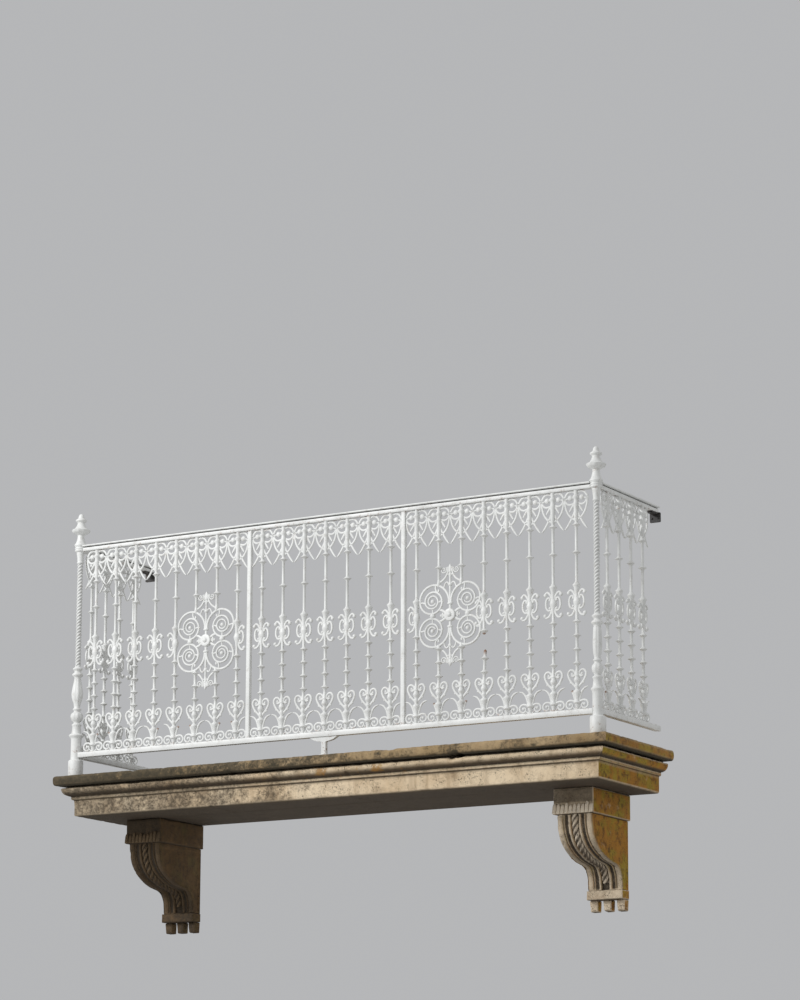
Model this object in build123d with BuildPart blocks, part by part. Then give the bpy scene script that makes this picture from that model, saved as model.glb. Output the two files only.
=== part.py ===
from build123d import *
import os
from math import cos, exp, hypot, pi, radians, sin

# Balcony with a stone platform on two scroll corbels and a cast and wrought iron
# railing on three sides. Millimetres. +X runs along the facade, +Y into the wall and
# +Z up. The origin is the centre of the top slab's rear face, on the wall plane Y = 0.
# Heights of the railing are measured up from the deck, the top of the stone platform.

# Railing in plan
PITCH = 103.5                  # spacing of the balusters, front and returns
SIDE_BAY_COUNT = 8             # balusters in the left and right bays of the front
MIDDLE_BAY_COUNT = 7           # balusters in the middle bay of the front
POST_TO_FIRST = 89.0           # corner post axis to the first baluster axis
RAIL_DEPTH = 525.0             # wall plane to the axis of the front railing
STANDARD_W = 18.0              # square bar between two bays of the front

# Rails
RAIL_H = 1000.0                # top of the handrail
CAP_T = 6.0                    # flat capping strip of the handrail
CAP_W = 40.0
TOP_BAR_T = 19.0               # bar under the capping strip
TOP_BAR_W = 26.0
BOTTOM_BAR_LOW = 80.0          # clear gap between the deck and the bottom bar
BOTTOM_BAR_T = 22.0
BOTTOM_BAR_W = 26.0

# Baluster casting
SHAFT_R = 6.0                  # half width of the shaft
CASTING_T = 10.0               # thickness of the casting, front to back
STRAP_W = 6.5                  # width of a scroll strap, seen from the front
BASE_R = 9.0                   # half width of the tapering base on the bottom bar
RING_R = 14.0
RING_HALF = 9.0                # half height of a ring
LOWEST_RING_H = 284.0
RING_STEP = 55.3               # four rings stand at this spacing under the middle scroll
LOWER_RINGS = 4
COLLAR_R = 15.0                # larger ring over the middle scroll
COLLAR_HALF = 12.0
COLLAR_RISE = 64.0             # collar above the centre of the middle scroll
BASE_COLLAR_H = 131.0          # the base scrolls spring from the shaft here
NECK_H = 173.0                 # widest place of the base, under the heart
SCROLL_REACH = 47.0            # outer side of a base scroll
SCROLL_FOOT = 31.5             # place where it stands on the bottom bar
HEART_LOW_H = 192.0            # point of the heart over the base
HEART_SIDE_H = 240.0           # its widest height
HEART_TOP_H = 256.0            # and the top of its lobes
HEART_REACH = 37.0
HEART_LOBE = 14.0              # the lobes' tops from the baluster axis
MIDDLE_H = 530.0               # centre of the middle scroll and of the medallions
BOW_REACH = 37.0               # side of the middle scroll from the baluster axis
BOW_HALF = 28.0                # half height of the middle scroll
STRAND_DROP = 119.0            # the top ornament meets the shaft this far below the rail
LOBE_REACH = 48.0
LOBE_DROP = 34.0               # its widest place below the rail
LOBE_TOP = 24.0                # and the top of its lobe from the baluster axis
TIP_GAP = 0.6                  # between the castings of two neighbours
SEAT_GAP = 0.3                 # between a casting and the piece it is leaded to

# Medallions: four spirals round a stem and a boss
VOLUTE_Z = 60.0                # volute centre above the medallion's centre
VOLUTE_R = 66.0                # radius of the spiral's centre line above its own centre
VOLUTE_DECAY = 0.55            # the radius shrinks by exp(-decay) in each turn
VOLUTE_TURNS = 2.3             # turns from the top of the first one to the eye
VOLUTE_LEAD = 100.0            # degrees of the spiral before that top, up from the stem
VOLUTE_STEPS = 8               # straight spans in each turn
EYE_R = 11.0
BOSS_R = 23.0
BOSS_T = 26.0
MEDALLION_T = 12.0
STEM_COLLAR_W = 22.0
STEM_COLLAR_T = 8.0
SOCKET_REACH = 145.0           # end of the sockets for the shafts, from the centre
CREST_H = 209.0                # tip of the crest above the medallion's centre
CREST_DROP = 27.0              # centre of a crest volute below that tip
CREST_DECAY = 0.75
CREST_TURNS = 0.75
CREST_LEAD = 135.0
CREST_GAP = 3.5                # between a crest volute and the shaft beside it
LEAF_W = 12.0                  # leaf at the tip of the crest
LEAF_H = 59.0
MEDALLION_AFTER = {"left": 6, "right": 2}  # it stands after this baluster, from the left
BREAK_AT = 4                   # this baluster of the right bay is broken
BREAK_LOW_H = 372.0            # tip of its stub
BREAK_HIGH_H = 440.0           # lower end of what still hangs from the top

# Corner posts and finials
POST_BASE_R = 32.0
POST_SHAFT_R = 12.5
POST_CYLINDER_R = 20.0         # lower cylinder, where the bottom bar meets the post
POST_BLOCK_R = 25.0            # ringed block that the upper rails run into
POST_RING_R = 21.5             # ring under the twisted shaft
POST_WAIST_R = 14.0
POST_BALL_R = 22.5
POST_VASE_R = 17.5
CYLINDER_H = 160.0             # top of the lower cylinder
POST_FLARE_R = 26.0            # flared ring over it
FLARE_H = 177.0
BALL_H = 263.0
VASE_LOW_H = 288.0
VASE_H = 315.0                 # widest place of the vase
TWIST_LOW_H = 474.0            # the twisted shaft starts here
CUP_H = 51.0                   # cup between the twisted shaft and the handrail
TWIST_STEPS = 16
TWIST_STEP_ANGLE = 28.0
FINIAL_H = 142.0
FINIAL_NECK_R = 13.0
FINIAL_NECK_RISE = 45.0
FINIAL_DISC_R = 40.0
FINIAL_DISC_RISE = 68.0
FINIAL_SMALL_DISC_R = 25.0
FINIAL_SMALL_DISC_RISE = 112.0
FINIAL_TIP_R = 4.0

# Foot under the middle of the bottom bar
FOOT_W = 130.0
FOOT_EDGE_T = 4.0              # thickness at the ends of its curved head
FOOT_HEAD_H = 32.0
FOOT_STEM_W = 25.0
FOOT_T = 16.0

# Wall brackets at the ends of the handrail
BRACKET_W = 46.0
BRACKET_H = 40.0
BRACKET_PLATE_T = 8.0
BRACKET_ARM_T = 10.0
BRACKET_L = 55.0
BRACKET_ROOM = 15.0            # least gap between the last casting of a return and the bracket

# Stone platform
TOP_SLAB_T = 44.0
EDGE_OVERHANG = 62.0           # top edge of the slab beyond the post axes
NOSE = 7.0                     # rounded nose beyond the top edge
FASCIA_OUT = 2.0               # fascia of the moulded course beyond the post axes
FASCIA_T = 68.0
FILLET_OUT = 10.0              # fillet and ovolo beyond the fascia
FILLET_T = 14.0
OVOLO_OUT = 42.0
OVOLO_T = 44.0

# Corbels
CORBEL_X = 1030.0              # corbel centre from the middle of the balcony
CORBEL_CAP_W = 180.0
CORBEL_CAP_T = 104.0
CORBEL_CAP_DEPTH = 330.0
REED_COUNT = 7                 # upright reeds along the front of the cap
REED_H = 30.0
REED_GAP = 6.0
REED_OUT = 6.0
CORBEL_W = 154.0
CORBEL_BODY_H = 276.0
CORBEL_TOP_DEPTH = 320.0
BELLY_DEPTH = 250.0            # the S curve passes here
BELLY_DROP = 137.0
WAIST_DEPTH = 145.0
WAIST_DROP = 174.0
CORBEL_FOOT_DEPTH = 54.0
CORBEL_FOOT_T = 38.0
FOOT_LIP = 8.0                 # the foot block stands out from the body by this much
DROP_H = 46.0
DROP_COUNT = 3
DROP_PITCH = 60.0
DROP_TOP_W = 40.0
DROP_TIP_W = 34.0

# Derived places
DECK = TOP_SLAB_T / 2
STANDARD_X = (MIDDLE_BAY_COUNT * PITCH + STANDARD_W) / 2
BAY_START = STANDARD_X + (STANDARD_W + PITCH) / 2
POST_X = BAY_START + (SIDE_BAY_COUNT - 1) * PITCH + POST_TO_FIRST
RETURN_RUN = RAIL_DEPTH - POST_TO_FIRST - PITCH / 2 - BRACKET_L - BRACKET_ROOM
RETURN_COUNT = 1 + int(RETURN_RUN // PITCH)  # balusters in each return, four at this depth
BOTTOM_BAR_TOP = BOTTOM_BAR_LOW + BOTTOM_BAR_T
TOP_BAR_HIGH = RAIL_H - CAP_T
TOP_BAR_LOW = TOP_BAR_HIGH - TOP_BAR_T
TWIST_HIGH_H = TOP_BAR_LOW - CUP_H
COLLAR_H = MIDDLE_H + COLLAR_RISE
SIDES = {"left": -1, "right": 1}
BAYS = {
    "left": [-BAY_START - (SIDE_BAY_COUNT - 1 - i) * PITCH for i in range(SIDE_BAY_COUNT)],
    "middle": [(i - (MIDDLE_BAY_COUNT - 1) / 2) * PITCH for i in range(MIDDLE_BAY_COUNT)],
    "right": [BAY_START + i * PITCH for i in range(SIDE_BAY_COUNT)],
}

# Upright planes, x along the facade and y up from the deck: through the wall plane's
# foot, and through the axis of the front railing
ELEVATION = Plane(origin=(0, 0, DECK), x_dir=(1, 0, 0), z_dir=(0, -1, 0))
FRONT = ELEVATION.offset(RAIL_DEPTH)

os.makedirs("parts", exist_ok=True)


def save(name, piece):
    """Label one finished sub-part and write it under its own name."""
    piece.label = name
    export_step(piece, f"parts/{name}.step")


def unit(x, y):
    """Direction of a vector in the plane, with length one."""
    length = hypot(x, y)
    return x / length, y / length


def strap(line, width):
    """Outline of a flat strap round its centre line, mitred at each bend."""
    last = len(line) - 1
    left, right = [], []
    for i, (x, y) in enumerate(line):
        near = max(i - 1, 0)
        far = min(i + 1, last)
        before = unit(line[near + 1][0] - line[near][0], line[near + 1][1] - line[near][1])
        after = unit(line[far][0] - line[far - 1][0], line[far][1] - line[far - 1][1])
        nx, ny = unit(-before[1] - after[1], before[0] + after[0])
        half = width / 2 / max(0.5, ny * before[0] - nx * before[1])
        left.append((x + nx * half, y + ny * half))
        right.append((x - nx * half, y - ny * half))
    return left + right[::-1]


def spiral(centre_x, centre_z, top_r, decay, lead, turns, steps):
    """Points of a shrinking spiral, counter-clockwise from lead degrees before its top."""
    start = lead / 360
    points = []
    for i in range(round((start + turns) * steps) + 1):
        turn = i / steps - start
        angle = 2 * pi * (turn + 0.25)
        radius = top_r * exp(-decay * turn)
        points.append((centre_x + radius * cos(angle), centre_z + radius * sin(angle)))
    return points


def ring(height, radius=RING_R, half=RING_HALF):
    """Stations of one double cone round a shaft."""
    return [(SHAFT_R, height - half), (radius, height), (SHAFT_R, height + half)]


def flipped(line, side, up=1):
    """The same line mirrored to a chosen side and up or down."""
    return [(side * x, up * y) for x, y in line]


# Baluster casting: a shaft with pointed rings, and scrolls in one flat plane. A rectangle
# of its own room trims it to the rails and to half the gap beside its neighbours.

STEM = (
    [(BASE_R, BOTTOM_BAR_TOP), (RING_R, NECK_H), (SHAFT_R, NECK_H + RING_HALF)]
    + [station for i in range(LOWER_RINGS) for station in ring(LOWEST_RING_H + i * RING_STEP)]
    + ring(COLLAR_H, COLLAR_R, COLLAR_HALF)
    + [(SHAFT_R, TOP_BAR_LOW)]
)
SCROLLS = [
    [(0, BASE_COLLAR_H), (SCROLL_REACH, BASE_COLLAR_H), (SCROLL_FOOT, BOTTOM_BAR_TOP)],
    [(0, HEART_LOW_H), (HEART_REACH, HEART_SIDE_H), (HEART_LOBE, HEART_TOP_H), (0, HEART_SIDE_H)],
    [(0, MIDDLE_H + BOW_HALF), (BOW_REACH, MIDDLE_H), (0, MIDDLE_H - BOW_HALF)],
    [(0, TOP_BAR_LOW - STRAND_DROP), (LOBE_REACH, TOP_BAR_LOW - LOBE_DROP), (LOBE_TOP, TOP_BAR_LOW)],
]
BALUSTER_OUTLINES = [STEM + flipped(STEM, -1)[::-1]] + [
    strap(flipped(line, side), STRAP_W) for line in SCROLLS for side in (-1, 1)
]

with BuildPart() as baluster:
    with BuildSketch(ELEVATION):
        for outline in BALUSTER_OUTLINES:
            with BuildLine():
                Polyline(*outline, close=True)
            make_face()
        with Locations((0, (BOTTOM_BAR_TOP + TOP_BAR_LOW) / 2)):
            Rectangle(PITCH - TIP_GAP, TOP_BAR_LOW - BOTTOM_BAR_TOP, mode=Mode.INTERSECT)
    extrude(amount=CASTING_T / 2, both=True)


# Medallions, one casting each. The lines are those of the upper left quarter.

QUARTERS = [(side, up) for side in (1, -1) for up in (1, -1)]
LEAD_R = VOLUTE_R * exp(VOLUTE_DECAY * VOLUTE_LEAD / 360)
VOLUTE_X = LEAD_R * sin(radians(VOLUTE_LEAD)) + STRAP_W / 2
STEM_COLLAR_H = VOLUTE_Z + LEAD_R * cos(radians(VOLUTE_LEAD))
VOLUTE_LOW = VOLUTE_Z - VOLUTE_R * exp(-VOLUTE_DECAY / 2)
CREST_SIDE_R = (PITCH / 2 - SHAFT_R - CREST_GAP - STRAP_W) / 2
CREST_X = CREST_SIDE_R + STRAP_W * 0.9
CREST_Z = CREST_H - CREST_DROP
SOCKET_LOW = VOLUTE_Z + VOLUTE_R - STRAP_W / 2

VOLUTE_SPIRAL = spiral(-VOLUTE_X, VOLUTE_Z, VOLUTE_R, VOLUTE_DECAY, VOLUTE_LEAD, VOLUTE_TURNS, VOLUTE_STEPS)
VOLUTE_LINE = VOLUTE_SPIRAL + [(-VOLUTE_X, VOLUTE_Z)]
CREST_LINE = [(-PITCH / 2, SOCKET_REACH - 2 * STRAP_W), (-PITCH / 4, SOCKET_REACH - STRAP_W / 2)] + spiral(
    -CREST_X,
    CREST_Z,
    CREST_SIDE_R * exp(-CREST_DECAY / 4),
    CREST_DECAY,
    CREST_LEAD,
    CREST_TURNS,
    VOLUTE_STEPS,
)
CREST_LEAF = [
    (0, CREST_H - LEAF_H),
    (-LEAF_W / 2, CREST_H - LEAF_H / 2),
    (0, CREST_H),
    (LEAF_W / 2, CREST_H - LEAF_H / 2),
]


def medallion_plane(side_name):
    """Upright plane of one medallion, centred between two balusters of its bay."""
    middle = BAYS[side_name][MEDALLION_AFTER[side_name] - 1] + PITCH / 2
    return Plane(origin=(middle, -RAIL_DEPTH, DECK + MIDDLE_H), x_dir=(1, 0, 0), z_dir=(0, -1, 0))


for side_name in SIDES:
    with BuildPart() as medallion:
        with BuildSketch(medallion_plane(side_name)):
            for line in (strap(VOLUTE_LINE, STRAP_W), strap(CREST_LINE, STRAP_W), CREST_LEAF):
                for side, up in QUARTERS:
                    with BuildLine():
                        Polyline(*flipped(line, side, up), close=True)
                    make_face()
            with Locations(*[(side * VOLUTE_X, up * VOLUTE_Z) for side, up in QUARTERS]):
                RegularPolygon(EYE_R, VOLUTE_STEPS)
            with Locations(*[(s * PITCH / 2, up * (SOCKET_LOW + SOCKET_REACH) / 2) for s, up in QUARTERS]):
                Rectangle(2 * SHAFT_R, SOCKET_REACH - SOCKET_LOW)
            Rectangle(STRAP_W, 2 * (CREST_H - LEAF_H / 2))
            with Locations((-VOLUTE_X, 0), (VOLUTE_X, 0)):
                Rectangle(STRAP_W, 2 * VOLUTE_LOW + STRAP_W)
            with Locations((0, -STEM_COLLAR_H), (0, STEM_COLLAR_H)):
                Rectangle(STEM_COLLAR_W, STEM_COLLAR_T)
        extrude(amount=MEDALLION_T / 2, both=True)
        with BuildSketch(medallion_plane(side_name)):
            RegularPolygon(BOSS_R, 2 * VOLUTE_STEPS)
        extrude(amount=BOSS_T / 2, both=True)
    save(f"medallion_{side_name}", medallion.part)


# Bays of balusters. Beside a medallion they are cut back to its sockets and volutes.

ROOM_GROWTH = (STRAP_W / 2 + SEAT_GAP) / cos(pi / VOLUTE_STEPS)
VOLUTE_ROOM = spiral(
    -VOLUTE_X,
    VOLUTE_Z,
    (VOLUTE_R + ROOM_GROWTH) / cos(pi / VOLUTE_STEPS),
    VOLUTE_DECAY,
    VOLUTE_LEAD,
    0.5,
    VOLUTE_STEPS,
)
CREST_ROOM_W = PITCH - 2 * (SHAFT_R + CREST_GAP / 2)

for bay_name, places in BAYS.items():
    with BuildPart() as bay:
        with Locations(*[(x, -RAIL_DEPTH, 0) for x in places]):
            add(baluster.part)
        if bay_name in SIDES:
            with BuildSketch(medallion_plane(bay_name)):
                for side, up in QUARTERS:
                    with BuildLine():
                        Polyline(*flipped(VOLUTE_ROOM, side, up), close=True)
                    make_face()
                Rectangle(2 * PITCH, 2 * VOLUTE_Z)
                Rectangle(CREST_ROOM_W, 2 * (CREST_H + SEAT_GAP))
                with Locations((-PITCH / 2, 0), (PITCH / 2, 0)):
                    Rectangle(2 * COLLAR_R + 2 * STRAP_W, 2 * (SOCKET_REACH + SEAT_GAP))
            extrude(amount=BOSS_T, both=True, mode=Mode.SUBTRACT)
        if bay_name == "right":
            with BuildSketch(FRONT):
                with Locations((places[BREAK_AT - 1], (BREAK_LOW_H + BREAK_HIGH_H) / 2)):
                    Rectangle(PITCH / 2, BREAK_HIGH_H - BREAK_LOW_H)
            extrude(amount=BOSS_T, both=True, mode=Mode.SUBTRACT)
    save(f"balusters_front_{bay_name}", bay.part)

for side_name, side in SIDES.items():
    with BuildPart() as bay:
        with Locations(
            *[(side * POST_X, POST_TO_FIRST - RAIL_DEPTH + i * PITCH, 0) for i in range(RETURN_COUNT)]
        ):
            add(baluster.part, rotation=(0, 0, 90))
    save(f"balusters_{side_name}_return", bay.part)


# Rails, between the posts' blocks on the front and from there to the wall on the returns


def rail(plan, width, low, thickness, post_r):
    """One straight rail over a plan rectangle, cut round the corner posts."""
    middle, length, depth, align = plan
    with BuildPart() as bar:
        with BuildSketch(Plane.XY.offset(DECK + low)):
            with Locations(middle):
                Rectangle(length or width, depth or width, align=align)
            with Locations((-POST_X, -RAIL_DEPTH), (POST_X, -RAIL_DEPTH)):
                Circle(post_r + SEAT_GAP, mode=Mode.SUBTRACT)
        extrude(amount=thickness)
    return bar.part


RAILS = {
    "handrail_cap": (CAP_W, TOP_BAR_HIGH, CAP_T, POST_BLOCK_R),
    "top_bar": (TOP_BAR_W, TOP_BAR_LOW, TOP_BAR_T, POST_BLOCK_R),
    "bottom_bar": (BOTTOM_BAR_W, BOTTOM_BAR_LOW, BOTTOM_BAR_T, POST_CYLINDER_R),
}
for rail_name, (width, low, thickness, post_r) in RAILS.items():
    front_plan = ((0, -RAIL_DEPTH), 2 * POST_X, None, Align.CENTER)
    save(f"{rail_name}_front", rail(front_plan, width, low, thickness, post_r))
    for side_name, side in SIDES.items():
        return_plan = ((side * POST_X, 0), None, RAIL_DEPTH - width / 2, (Align.CENTER, Align.MAX))
        save(f"{rail_name}_{side_name}_return", rail(return_plan, width, low, thickness, post_r))


# Standards between the bays, and the foot under the middle of the bottom bar

for side_name, side in SIDES.items():
    with BuildPart() as standard:
        with BuildSketch(Plane.XY.offset(DECK + BOTTOM_BAR_TOP)):
            with Locations((side * STANDARD_X, -RAIL_DEPTH)):
                Rectangle(STANDARD_W, STANDARD_W)
        extrude(amount=TOP_BAR_LOW - BOTTOM_BAR_TOP)
    save(f"standard_{side_name}", standard.part)

HEAD_EDGE = (FOOT_W / 2, BOTTOM_BAR_LOW - FOOT_EDGE_T)
STEM_EDGE = (FOOT_STEM_W / 2, BOTTOM_BAR_LOW - FOOT_HEAD_H)
FLARE = (
    HEAD_EDGE[0] - (HEAD_EDGE[0] - STEM_EDGE[0]) * cos(pi / 4),
    STEM_EDGE[1] + (HEAD_EDGE[1] - STEM_EDGE[1]) * sin(pi / 4),
)

with BuildPart() as foot:
    with BuildSketch(FRONT):
        with BuildLine():
            Polyline((0, 0), (FOOT_STEM_W / 2, 0), STEM_EDGE)
            ThreePointArc(STEM_EDGE, FLARE, HEAD_EDGE)
            Polyline(HEAD_EDGE, (FOOT_W / 2, BOTTOM_BAR_LOW), (0, BOTTOM_BAR_LOW))
            mirror(about=Plane.YZ)
        make_face()
    extrude(amount=FOOT_T / 2, both=True)
save("centre_foot", foot.part)


# Corner posts and finials, turned about their own axes

POST_LOWER = [
    (0, 0),
    (POST_BASE_R, 0),
    (POST_BASE_R, BOTTOM_BAR_LOW - FOOT_EDGE_T),
    (POST_CYLINDER_R, BOTTOM_BAR_LOW - FOOT_EDGE_T),
    (POST_CYLINDER_R, CYLINDER_H),
    (POST_FLARE_R, FLARE_H),
    (POST_WAIST_R, (FLARE_H + BALL_H) / 2),
    (POST_BALL_R, BALL_H),
    (POST_WAIST_R, VASE_LOW_H),
    (POST_VASE_R, VASE_H),
    (POST_WAIST_R, TWIST_LOW_H - 2 * POST_RING_R),
    (POST_RING_R, TWIST_LOW_H - POST_RING_R),
    (POST_SHAFT_R, TWIST_LOW_H),
    (0, TWIST_LOW_H),
]
POST_UPPER = [
    (0, TWIST_HIGH_H),
    (POST_SHAFT_R, TWIST_HIGH_H),
    (POST_BLOCK_R, TOP_BAR_LOW),
    (POST_BLOCK_R, RAIL_H),
    (0, RAIL_H),
]
FINIAL = [
    (0, RAIL_H),
    (POST_BLOCK_R, RAIL_H),
    (FINIAL_NECK_R, RAIL_H + FINIAL_NECK_RISE),
    (FINIAL_DISC_R, RAIL_H + FINIAL_DISC_RISE),
    (FINIAL_NECK_R, RAIL_H + (FINIAL_DISC_RISE + FINIAL_SMALL_DISC_RISE) / 2),
    (FINIAL_SMALL_DISC_R, RAIL_H + FINIAL_SMALL_DISC_RISE),
    (FINIAL_TIP_R, RAIL_H + FINIAL_H),
    (0, RAIL_H + FINIAL_H),
]

for side_name, side in SIDES.items():
    axis_plane = Plane(origin=(side * POST_X, -RAIL_DEPTH, DECK), x_dir=(1, 0, 0), z_dir=(0, -1, 0))
    post_axis = Axis((side * POST_X, -RAIL_DEPTH, DECK), (0, 0, 1))
    with BuildPart() as post:
        for outline in (POST_LOWER, POST_UPPER):
            with BuildSketch(axis_plane):
                with BuildLine():
                    Polyline(*outline, close=True)
                make_face()
            revolve(axis=post_axis)
        for i in range(TWIST_STEPS + 1):
            level = TWIST_LOW_H + (TWIST_HIGH_H - TWIST_LOW_H) * i / TWIST_STEPS
            with BuildSketch(Plane(origin=(side * POST_X, -RAIL_DEPTH, DECK + level))):
                RegularPolygon(POST_SHAFT_R, 4, rotation=i * TWIST_STEP_ANGLE)
        loft(ruled=True)
    save(f"post_{side_name}", post.part)
    with BuildPart() as finial:
        with BuildSketch(axis_plane):
            with BuildLine():
                Polyline(*FINIAL, close=True)
            make_face()
        revolve(axis=post_axis)
    save(f"finial_{side_name}", finial.part)


# Wall brackets, a plate on the wall with an arm under the end of the top bar

for side_name, side in SIDES.items():
    with BuildPart() as bracket:
        with BuildSketch(ELEVATION):
            with Locations((side * POST_X, TOP_BAR_LOW)):
                Rectangle(BRACKET_W, BRACKET_H, align=(Align.CENTER, Align.MAX))
        extrude(amount=BRACKET_PLATE_T)
        with BuildSketch(Plane.XY.offset(DECK + TOP_BAR_LOW)):
            with Locations((side * POST_X, 0)):
                Rectangle(TOP_BAR_W, BRACKET_L, align=(Align.CENTER, Align.MAX))
        extrude(amount=-BRACKET_ARM_T)
    save(f"wall_bracket_{side_name}", bracket.part)


# Stone platform: a slab with a rounded nose over a moulded course, returned at both ends


def three_sided(profile, half, depth):
    """Body with an edge profile, drawn as (out, height), round its three free sides."""
    with BuildPart() as body:
        for low, high in zip(profile, profile[1:]):
            for out, level in (low, high):
                with BuildSketch(Plane.XY.offset(level)):
                    with Locations((0, 0)):
                        Rectangle(2 * (half + out), depth + out, align=(Align.CENTER, Align.MAX))
            loft(ruled=True)
    return body.part


ROUND_STEPS = 4
COURSE_LOW = -DECK - OVOLO_T - FILLET_T - FASCIA_T
FILLET_LOW = COURSE_LOW + FASCIA_T
OVOLO_LOW = FILLET_LOW + FILLET_T
SLAB_PROFILE = [
    (NOSE * cos(turn), DECK * sin(turn)) for turn in [(i / ROUND_STEPS - 0.5) * pi for i in range(ROUND_STEPS + 1)]
]
OVOLO_PROFILE = [
    (FILLET_OUT + (OVOLO_OUT - FILLET_OUT) * sin(turn), OVOLO_LOW + OVOLO_T * (1 - cos(turn)))
    for turn in [i / ROUND_STEPS * pi / 2 for i in range(ROUND_STEPS + 1)]
]
COURSE_PROFILE = [(0, COURSE_LOW), (0, FILLET_LOW), (FILLET_OUT, OVOLO_LOW - FILLET_T / 2)] + OVOLO_PROFILE

save("platform_top_slab", three_sided(SLAB_PROFILE, POST_X + EDGE_OVERHANG, RAIL_DEPTH + EDGE_OVERHANG))
save("platform_moulded_course", three_sided(COURSE_PROFILE, POST_X + FASCIA_OUT, RAIL_DEPTH + FASCIA_OUT))


# Corbels: cap with a fringe of reeds, scrolled body, and foot with drops

CAP_LOW = COURSE_LOW - CORBEL_CAP_T
BODY_LOW = CAP_LOW - CORBEL_BODY_H
FOOT_LOW = BODY_LOW - CORBEL_FOOT_T
WALL_EDGE = (Align.CENTER, Align.MAX)

for side_name, side in SIDES.items():
    corbel_x = side * CORBEL_X
    with BuildPart() as cap:
        with BuildSketch(Plane.XY.offset(CAP_LOW)):
            with Locations((corbel_x, 0)):
                Rectangle(CORBEL_CAP_W, CORBEL_CAP_DEPTH, align=WALL_EDGE)
        extrude(amount=CORBEL_CAP_T)
        with BuildSketch(Plane.XY.offset(CAP_LOW)):
            with Locations((corbel_x, -CORBEL_CAP_DEPTH)):
                with GridLocations(CORBEL_CAP_W / REED_COUNT, 0, REED_COUNT, 1):
                    Rectangle(CORBEL_CAP_W / REED_COUNT - REED_GAP, 2 * REED_OUT)
        extrude(amount=REED_H)
    save(f"corbel_cap_{side_name}", cap.part)

    with BuildPart() as scroll:
        with BuildSketch(Plane(origin=(corbel_x, 0, CAP_LOW), x_dir=(0, -1, 0), z_dir=(-1, 0, 0))):
            with BuildLine():
                Polyline((CORBEL_FOOT_DEPTH, -CORBEL_BODY_H), (0, -CORBEL_BODY_H), (0, 0), (CORBEL_TOP_DEPTH, 0))
                Spline(
                    (CORBEL_TOP_DEPTH, 0),
                    (BELLY_DEPTH, -BELLY_DROP),
                    (WAIST_DEPTH, -WAIST_DROP),
                    (CORBEL_FOOT_DEPTH, -CORBEL_BODY_H),
                    tangents=((0, -1), (0, -1)),
                )
            make_face()
        extrude(amount=CORBEL_W / 2, both=True)
    save(f"corbel_scroll_{side_name}", scroll.part)

    with BuildPart() as base:
        with BuildSketch(Plane.XY.offset(FOOT_LOW)):
            with Locations((corbel_x, 0)):
                Rectangle(CORBEL_W + FOOT_LIP, CORBEL_FOOT_DEPTH + FOOT_LIP, align=WALL_EDGE)
        extrude(amount=CORBEL_FOOT_T)
        for i in range(DROP_COUNT):
            drop_x = corbel_x + (i - (DROP_COUNT - 1) / 2) * DROP_PITCH
            for level, size in ((FOOT_LOW, DROP_TOP_W), (FOOT_LOW - DROP_H, DROP_TIP_W)):
                with BuildSketch(Plane.XY.offset(level)):
                    with Locations((drop_x, 0)):
                        Rectangle(size, size, align=WALL_EDGE)
            loft(ruled=True)
    save(f"corbel_foot_{side_name}", base.part)
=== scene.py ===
import logging
from dataclasses import dataclass, field
from enum import Enum
from itertools import product
from math import atan2, cos, exp, hypot, pi, radians, sin
from typing import Callable, Mapping, Sequence

import bmesh
import bpy
from mathutils import Matrix, Vector, noise


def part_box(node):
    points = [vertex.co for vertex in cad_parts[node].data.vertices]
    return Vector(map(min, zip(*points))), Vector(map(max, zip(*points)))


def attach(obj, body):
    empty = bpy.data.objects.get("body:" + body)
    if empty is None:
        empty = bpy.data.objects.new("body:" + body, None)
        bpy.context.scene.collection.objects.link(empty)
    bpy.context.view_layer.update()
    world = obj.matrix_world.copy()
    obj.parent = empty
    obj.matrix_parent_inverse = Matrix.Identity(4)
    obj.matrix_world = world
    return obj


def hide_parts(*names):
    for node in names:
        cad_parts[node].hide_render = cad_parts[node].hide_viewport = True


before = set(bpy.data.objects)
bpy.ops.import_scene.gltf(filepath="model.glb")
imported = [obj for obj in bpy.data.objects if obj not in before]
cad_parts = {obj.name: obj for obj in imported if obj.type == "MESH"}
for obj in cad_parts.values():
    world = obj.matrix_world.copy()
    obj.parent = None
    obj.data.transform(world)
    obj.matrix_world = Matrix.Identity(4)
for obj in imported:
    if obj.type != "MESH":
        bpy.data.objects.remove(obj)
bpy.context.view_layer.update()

LOG = logging.getLogger("balcony")

MM = 0.001  # a millimetre, in metres
REAR_KEPT = 0.012  # metres from the wall over which the wear of the stone sets in
STRAP_DEEPEST = 1.25  # greatest depth of a strap, as a share of its width
STRAP_ROUNDING = 0.75  # exponent of a strap's section, which is an ellipse at 1
STRAP_TIP = 0.6  # share by which the end of a strap is drawn in
SIDES = ((-1, "left"), (1, "right"))  # sign of X and name of each side
Station = tuple[float, ...]
Side = int
Colour = tuple[float, float, float, float]
Socket = bpy.types.NodeSocket


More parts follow.
